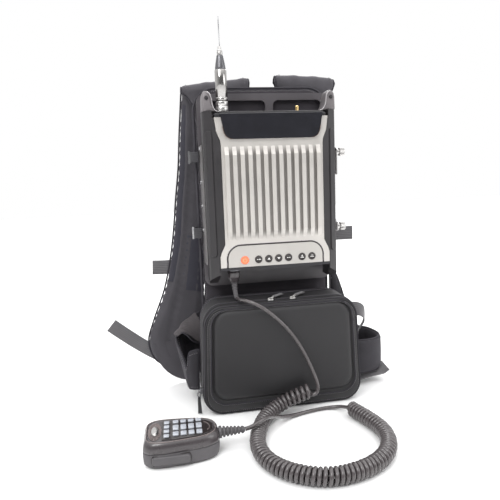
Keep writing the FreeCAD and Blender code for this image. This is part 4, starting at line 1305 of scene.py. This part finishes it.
def add_microphone():
    """Speaker microphone on its back: two covers, sixteen keys, grille, talk pad and boot."""
    rear = [mic_ring(i, z) for i, z in (
        (7.5, 0.3), (4.2, 0.9), (2.2, 2.6), (0.9, 5.6), (0.3, 9.5), (0.0, 15.0), (0.2, 21.0),
        (0.8, MIC_SEAM - 0.1))]
    cover = seam_object("mic_rear_shell", [loft(rear)], "mic_rubber")
    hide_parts("mic_rear_cover")
    front = [mic_ring(i, z) for i, z in (
        (0.9, MIC_SEAM + 0.3), (0.2, MIC_SEAM + 0.9), (0.3, 26.0), (0.9, 29.6), (1.8, 32.8), (3.0, 35.2),
        (4.2, 36.6), (5.0, 37.2), (5.8, 37.1), (6.4, 36.5), (7.0, 36.3), (12.0, 36.6),
        (20.0, 36.7), (30.0, 36.7))]
    cover = seam_object("mic_front_shell", [loft(front)], "mic_plastic")
    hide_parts("mic_front_cover")
    rim = np.array(mic_ring(5.0, 37.4))
    # the bezel line's light colour is a painted highlight along the top face's rim
    seam_object("mic_bezel_painted_highlight", [tube(rim, 0.55, 8, True)], "mic_trim")

    grille = []
    for k in range(4):
        line = mic_oval(EMBLEM_U, 6.2 + k, 15.4 + 3.0 * k, 37.0 - 0.05 * k, 48)
        grille.append(tube(line, 0.55, 6, True))
    seam_object("mic_grille", grille, "mic_trim")
    oval = []
    for scale, height in ((1.0, 36.8), (1.0, 38.0), (0.92, 38.7), (0.7, 39.0), (0.3, 39.1)):
        oval.append(mic_oval(EMBLEM_U, 5.1 * scale, 13.2 * scale, height, 40))
    emblem = seam_object("mic_oval_plate", [loft(oval)], "silver_metal")
    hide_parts("mic_emblem")

    sheet = []
    for inset, height in ((0.0, 36.4), (0.0, 37.3), (0.7, 37.5)):
        ring = []
        for u, v in ((26.8, 26.4), (50.0, 27.0), (78.0, 24.8), (92.0, 18.0), (98.0, 7.5)):
            ring.append(np.array((u, v - inset, height)))
        ring = ring + [p * (1, -1, 1) for p in reversed(ring)]
        sheet.append(mic_place(ring))
    whites = []
    for row in range(4):
        whites.append(rounded_bar(33.1, 20.5 - row * 13.0, 3.8, 4.1, 1.2, 37.3, 39.4))
    for u in KEY_COLUMNS:
        for v, half in KEY_ROWS:
            whites.append(rounded_bar(u, v, 4.1, half, 1.4, 37.3, 39.5))
    slot_line = [(86.5, 15, 37.7), (91.5, 9, 37.7), (94.6, 0, 37.7), (93.6, -7, 37.7), (90.6, -11, 37.7)]
    slot_line = mic_place(slot_line)
    sheet_piece = seam_object("mic_key_sheet", [loft(sheet)], "key_black")
    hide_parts("mic_keypad")
    seam_object("mic_keys", whites, "key_white")
    # the slot line's light colour is a painted highlight along the slot's edge
    seam_object("mic_slot", [tube(smooth_path(slot_line, 4), 0.5, 6)], "mic_trim")
    marks = []
    for u in KEY_COLUMNS:
        for v, _ in KEY_ROWS:
            marks.append(rounded_bar(u, v, 1.3, 0.9, 0.3, 39.4, 39.6, 0.05, 3))
    seam_object("mic_key_marks", marks, "mark_grey")

    pad = []
    for grow, v in ((0.0, -35.4), (0.0, -39.2), (-0.8, -40.4), (-2.6, -41.0), (-5.2, -41.2)):
        pad.append(mic_place([(u, v, z) for u, z in talk_pad_outline(4.0 + grow * 0.75)]))
    ptt = seam_object("mic_talk_pad", [loft(pad)], "mic_rubber", "ptt")
    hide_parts("mic_ptt_button")
    line = mic_place([(u, -mic_half_width(u) - 0.05, z) for u, z in talk_pad_outline(5.0)])
    seam_object("mic_pad_edge", [closed_tube(line, 0.5, 6)], "key_black")

    stud = [mic_oval(38, 7.5, 7.5, height, 32) for height in (0.1, 1.2)]
    seam_object("mic_hang_stud", [loft(stud)], "dark_metal")

    profile = [(6.4, 98.0), (6.4, 107.3), (8.6, 107.7), (8.8, 110.8), (8.2, 111.4)]
    for k in range(6):
        u = 112.0 + k * 5.4
        radius = 7.9 - k * 0.54
        profile += [(radius * 0.72, u), (radius * 0.72, u + 1.2), (radius, u + 1.8), (radius - 0.2, u + 4.3)]
    profile += [(3.9, 144.6), (3.2, 145.8)]
    rings = []
    for radius, u in profile:
        ring = [(u, radius * math.cos(a), MIC_BOOT_Z + radius * math.sin(a)) for a in circle_angles(24)]
        rings.append(mic_place(ring))
    boot = seam_object("mic_ribbed_boot", [loft(rings)], "mic_rubber")
    boot.data.set_sharp_from_angle(angle=math.radians(45))
    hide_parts("mic_boot")
    return boot


def mic_half_width(u):
    us = [p[0] for p in MIC_OUTLINE]
    vs = [p[1] for p in MIC_OUTLINE]
    return float(np.interp(u, us, vs))


def add_plug():
    """Microphone plug under the radio and its ribbed boot, which bends forward."""
    low, high = node_box("cord_plug")
    x, y, _ = (low + high) / 2
    profile = [(9.3, 234.0), (9.5, 231.0), (10.3, 230.4)]
    profile += [(10.3 if k % 2 else 9.8, 229.6 - k * 0.9) for k in range(8)]
    profile += [(10.2, 222.2), (9.5, 221.6), (9.2, 217.0), (7.6, 214.4), (5.4, 214.0)]
    plug = seam_object("cord_plug_body", [lathe(profile, (x, y, 0))], "mic_plastic")
    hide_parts("cord_plug")
    bend = 24.0
    centre = np.array((x, y - bend, 214.0))
    path = []
    radii = []
    steps = 56
    for i in range(steps + 1):
        a = math.radians(90 * i / steps)
        path.append(centre + np.array((0, bend * math.cos(a), -bend * math.sin(a))))
        base = 5.3 - 1.9 * i / steps
        radii.append(base if i % 8 < 5 or i > steps - 3 else base - 0.95)
    boot = seam_object("cord_plug_boot", [tube(path, radii, 16)], "mic_rubber")
    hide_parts("plug_boot")
    return plug, boot


# -------------------------------------------------------------------- radio unit

def knurled(radius, start, end, centre, axis, ridges=28, depth=0.5):
    """A turned head with straight knurling."""
    rings = []
    steps = ridges * 2
    span = end - start
    for t, scale in ((0.0, 0.86), (0.06, 0.97), (0.12, 1.0), (0.88, 1.0), (0.95, 0.97), (1.0, 0.86)):
        ring = []
        for i, a in enumerate(circle_angles(steps)):
            r = (radius - (depth if i % 2 else 0.0)) * scale
            ring.append(about(axis, centre, r, a, start + span * t))
        rings.append(ring)
    return loft(rings)


def add_antenna():
    """Socket, collar, coil case, taper, chuck and rod of the antenna, from the bottom up."""
    low, high = node_box("antenna_body")
    centre = (low + high) / 2 * (1, 1, 0)
    z0, z1 = low[2], high[2]
    connector = seam_object("antenna_socket", [
        lathe([(5.0, 489), (7.2, 496.7), (7.5, 497.2), (7.5, 498.4), (5.2, 498.6), (5.0, 510)], centre)],
        "steel")
    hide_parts("antenna_connector")
    nut = seam_object("antenna_collar", [
        lathe([(5.4, 498.8), (9.6, 499.0), (10.2, 499.6), (10.2, 507.4), (9.7, 507.8), (9.7, 508.4),
               (10.2, 508.8), (10.2, 514.8), (9.8, 515.6), (7.0, 516.4)], centre)], "silver_metal", "antenna")
    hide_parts("antenna_nut")
    body = seam_object("antenna_coil_case", [
        lathe([(7.0, z0 + 0.1), (9.2, z0 + 0.3), (9.8, z0 + 1.2), (9.8, z0 + 5.0), (9.3, z0 + 5.4),
               (9.3, z0 + 6.0), (9.8, z0 + 6.4), (9.8, z1 - 1.2), (9.2, z1 - 0.2), (8.0, z1)], centre)],
        "polished_metal", "antenna")
    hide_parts("antenna_body")
    cone = seam_object("antenna_taper", [
        lathe([(8.2, 566.0), (8.7, 566.6), (8.6, 569.0), (7.6, 576.0), (6.2, 583.0), (5.5, 586.6),
               (5.3, 588.4), (4.4, 588.6)], centre)], "dark_metal", "antenna")
    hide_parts("antenna_cone")
    bushing = seam_object("antenna_chuck", [
        knurled(4.6, 588.8, 594.0, centre, "z", 16, 0.35),
        lathe([(4.0, 594.0), (4.4, 594.4), (4.2, 597.4), (2.7, 598.0), (2.6, 602.4), (1.2, 603.0)], centre)],
        "silver_metal", "antenna")
    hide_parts("antenna_bushing")
    whip = seam_object("antenna_rod", [
        lathe([(0.9, 602.6), (0.9, 640.0), (0.75, 648.0), (1.15, 648.2), (1.15, 649.6), (0.6, 650.0)],
              centre, "z", 16)], "steel", "antenna")
    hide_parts("antenna_whip")


def add_gps_connector():
    low, high = node_box("gps_connector")
    centre = (low + high) / 2 * (1, 1, 0)
    profile = [(4.0, 489.5), (4.0, 496.5), (4.8, 496.6), (4.8, 498.0), (3.1, 498.1)]
    for k in range(9):
        z = 498.4 + k * 0.95
        profile += [(3.175, z), (2.85, z + 0.48)]
    profile += [(3.1, 507.2), (2.3, 508.0), (2.2, 506.6), (0.9, 506.4), (0.9, 507.6)]
    piece = seam_object("gps_port", [lathe(profile, centre, "z", 32)], "brass")
    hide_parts("gps_connector")


def add_thumb_bolts():
    low, high = node_box("thumb_bolts")
    parts = []
    radius = (high[1] - low[1]) / 2
    for z in (high[2] - radius, low[2] + radius):
        centre = (0, (low[1] + high[1]) / 2, z)
        parts.append(knurled(7.5, 132.5, 142.2, centre, "x", 26, 0.55))
        washer = [(4.0, 126.6), (7.5, 126.7), (7.5, 129.2), (4.2, 129.5), (4.2, 132.8)]
        parts.append(lathe(washer, centre, "x", 32))
        parts.append(lathe([(6.4, 142.1), (5.2, 142.25), (2.3, 141.9), (0.5, 141.9)], centre, "x", 32))
    piece = seam_object("thumb_screws", parts, "silver_metal")
    piece.data.set_sharp_from_angle(angle=math.radians(35))
    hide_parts("thumb_bolts")


def horn_section(x0, x1, y0, y1, z, corner):
    """A level slice of a horn: a rectangle with rounded corners."""
    return [(x, y, z) for arc in corner_arcs(x0, x1, y0, y1, corner, 6) for x, y in arc]


def add_horns():
    """Guard horns: rounded posts that flare inward to meet the top plate."""
    parts = []
    lines = []
    screws = []
    for side in (-1, 1):
        rings = []
        for x0, x1, y0, y1, z, corner in (
                (88.5, 112.6, 11.0, 43.5, 500.3, 1.5), (92.2, 112.8, 10.6, 43.6, 503.0, 2.4),
                (95.0, 113.0, 10.4, 43.6, 508.0, 3.6), (96.6, 113.0, 10.4, 43.4, 515.0, 4.2),
                (97.4, 112.9, 10.6, 43.2, 521.5, 4.4), (98.2, 112.2, 11.2, 42.6, 526.5, 4.6),
                (99.6, 110.8, 12.4, 41.2, 530.3, 4.8), (101.8, 108.6, 14.6, 39.0, 532.4, 3.2),
                (103.8, 106.6, 17.0, 36.5, 532.9, 1.2)):
            ring = horn_section(x0, x1, y0, y1, z, corner)
            rings.append([(x * side, y, z) for x, y, z in ring])
        parts.append(loft(rings))
        edge = smooth_path([
            (104.0, 10.6, 531.0), (99.4, 10.2, 527.0), (97.2, 10.0, 520.0), (96.2, 10.0, 512.0),
            (94.0, 10.2, 505.0), (90.4, 10.4, 500.6), (85.5, 10.6, 498.6)], 5)
        lines.append(tube([(x * side, y, z) for x, y, z in edge], 0.9, 8))
        screws.append(lathe([(3.1, 9.2), (3.1, 10.8)], (105.2 * side, 0, 521.0), "y", 20))
        screws.append(lathe([(1.6, 8.9), (2.6, 9.2)], (105.2 * side, 0, 521.0), "y", 20))
    # the horns' lighter plastic is painted top light on the bumper's own dark plastic
    horns = seam_object("guard_horns", parts, "horn_plastic")
    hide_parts("bumper_ears")
    seam_object("horn_trim", lines, "trim_light")
    seam_object("horn_dimples", screws, "bumper_plastic")


KEY_FACE_Y = -1.85


def flat_icon(name, outlines, centre_x, centre_z, body, material="legend"):
    """Thin raised symbol on a key's face; outlines are closed (x, z) loops."""
    parts = []
    for outline in outlines:
        front = [(centre_x + x, KEY_FACE_Y - 0.16, centre_z + z) for x, z in outline]
        back = [(centre_x + x, KEY_FACE_Y + 0.25, centre_z + z) for x, z in outline]
        parts.append(loft([back, front]))
    seam_object(name, parts, material, body)


def ring_outline(radius, start, end, width, steps=16):
    outer = []
    inner = []
    for i in range(steps + 1):
        a = math.radians(start + (end - start) * i / steps)
        outer.append(((radius + width / 2) * math.cos(a), (radius + width / 2) * math.sin(a)))
        inner.append(((radius - width / 2) * math.cos(a), (radius - width / 2) * math.sin(a)))
    return outer + inner[::-1]


def rectangle(x0, x1, z0, z1):
    return [(x0, z0), (x1, z0), (x1, z1), (x0, z1)]


def disc_outline(radius, x=0.0, z=0.0):
    return [(x + radius * math.cos(a), z + radius * math.sin(a)) for a in circle_angles(16)]


KEY_ICONS = (
    (rectangle(-3.2, -0.8, -0.45, 0.45), disc_outline(0.95, 1.5), rectangle(2.6, 3.4, -0.45, 0.45)),
    ([(-2.6, -1.5), (2.6, -1.5), (0, 2.1)],),
    ([(-2.6, 1.5), (0, -2.1), (2.6, 1.5)],),
    (rectangle(-2.9, -0.6, -0.6, 0.6), rectangle(0.6, 2.9, -0.6, 0.6)),
    (disc_outline(1.15, 0, 2.0), rectangle(-1.9, 1.9, 0.1, 0.8), rectangle(-3.0, 3.0, -1.9, -0.9)),
    (rectangle(-1.7, 1.7, 1.1, 2.0), rectangle(-3.2, 3.2, -1.2, -0.2)),
)


def key_cap(name, node, body, material):
    low, high = node_box(node)
    x, _, z = (low + high) / 2
    flange = (high[0] - low[0]) / 2
    radius = flange - 1.3
    profile = [(radius * 0.35, -1.75), (radius * 0.7, -1.8), (radius - 1.0, -2.0), (radius - 0.45, -1.92),
               (radius - 0.1, -1.5), (radius, -0.9), (radius, 5.2), (flange, 5.3), (flange, 6.8)]
    cap = seam_object(name, [lathe(profile, (x, 0, z), "y", 40)], material, body)
    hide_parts(node)
    return x, z


def add_keys():
    x, z = key_cap("power_cap", "power_button", "power_key", "key_orange")
    flat_icon("power_icon", (ring_outline(3.0, 125, 415, 0.8), rectangle(-0.4, 0.4, 0.6, 3.6)), x, z,
              "power_key", "icon_warm")
    for i, icon in enumerate(KEY_ICONS, 1):
        body = "key_%d" % i
        x, z = key_cap("key_cap_%d" % i, "function_key_%d" % i, body, "key_black")
        flat_icon("key_icon_%d" % i, icon, x, z, body)


def panel_line(inset, y):
    """Line along the control panel's edge: up one side, over the top and down the other."""
    half, corner = 82.0, 22.0
    top, bottom = 278.0, 242.3
    h = half - inset
    r = corner - inset
    line = [(-h, y, bottom), (-h, y, (bottom + top) / 2 - 4)]
    for cx, start in ((r - h, 180), (h - r, 90)):
        for i in range(9):
            a = math.radians(start - 90 * i / 8)
            line.append((cx + r * math.cos(a), y, top - inset - r + r * math.sin(a)))
    return line + [(h, y, (bottom + top) / 2 - 4), (h, y, bottom)]


def add_radio_trim():
    """Fine lines: the panel's black seal and bright bead, and the badge's lower edge."""
    seal = tube(panel_line(-1.5, 0.8), 1.5, 8)
    seam_object("panel_seal", [seal], "key_black")
    seam_object("panel_bead", [tube(panel_line(-2.75, -0.1), 0.4, 6)], "trim_light")
    left = [(-82.6, 474.0), (-80.6, 465.0), (-77.2, 458.6), (-71.6, 455.0), (-64.0, 453.9)]
    edge = left + [(0, 453.9)] + [(-x, z) for x, z in reversed(left)]
    badge = [(x, -3.4, z) for x, z in edge]
    seam_object("badge_line", [tube(smooth_path(badge, 4), 0.45, 6)], "icon_copper")
    lip = [(-86.4, -2.2, 496.2), (86.4, -2.2, 496.2)]
    seam_object("badge_lip", [tube(resample(lip, 9), 1.3, 8)], "bumper_plastic")


# CAD nodes shown as they are: material, and width and steps of their softened edges
NODE_FINISHES = (
    ("front_casting", "casting_paint", 1.3, 3),
    ("badge_panel", "gloss_black", 0.7, 3),
    ("control_panel", "silver_paint", 0.25, 2),
    ("button_mat", "silicone", 0.0, 0),
    ("main_board", "board", 0.0, 0),
    ("duplexer", "brushed_metal", 0.0, 0),
    ("rear_housing", "housing_black", 0.9, 2),
    ("casing_screws", "steel", 0.0, 0),
    ("top_plate", "housing_black", 0.4, 2),
    ("side_bumpers", "bumper_plastic", 1.4, 3),
    ("bumper_grips", "bumper_plastic", 0.5, 2),
    ("mic_socket", "dark_metal", 0.4, 2),
    ("side_brackets", "bracket_grey", 0.5, 2),
    ("bracket_screws", "steel", 0.7, 3),
    ("bolt_plates", "bracket_grey", 0.4, 2),
    ("carrier_plate", "carrier_black", 1.6, 3),
    ("ladder_locks", "steel", 0.6, 2),
    ("battery_pack", "battery_wrap", 0.8, 2),
    ("mic_speaker", "dark_metal", 0.0, 0),
)


def build():
    add_camera()
    add_studio()
    cord, line, length = add_cord()
    mic_boot = add_microphone()
    plug, plug_boot = add_plug()
    for finish in NODE_FINISHES:
        dress_node(*finish)
    add_horns()
    add_keys()
    add_radio_trim()
    add_antenna()
    add_gps_connector()
    add_thumb_bolts()
    add_pouch()
    add_zip_sliders()
    add_side_pull()
    add_back_pad()
    left = add_shoulder_strap(
        "strap_left_pad", "shoulder_strap_left", LEFT_STRAP, (563.0, 577.0), -139.0, -16.0, (0.36, 0.92))
    right = add_shoulder_strap(
        "strap_right_pad", "shoulder_strap_right", RIGHT_STRAP, (575.0, 582.0), 147.0, 35.0, (0.33, 0.67))
    add_strap_panel("strap_left_sleeve_outer", left, 530.0, 190.0, 0.19, 0.30, 5.6)
    add_strap_panel("strap_left_sleeve_inner", left, 530.0, 292.0, 0.63, 0.48, 5.6)
    add_strap_panel("strap_left_flap", left, 290.0, 186.0, 0.63, 0.50, 7.0)
    add_strap_panel("strap_left_lower_panel", left, 88.0, 24.0, 0.5, 0.84, 6.4, "strap_fabric", 2.0)
    add_strap_panel("load_webbing_right", right, 520.0, 200.0, 0.5, 0.34, 6.6, "webbing_black", 0.5)
    add_harness_webbing()
    add_wing("wing_right_pad", "wing_right", "hip_wing_right", RIGHT_WING, 8.5, 3.2, 3.0)
    add_wing("wing_left_pad", "wing_left", "hip_wing_left", LEFT_WING, 5.5, 2.6, 2.0)
    add_wing_webbing()
    add_wing_flap()


build()
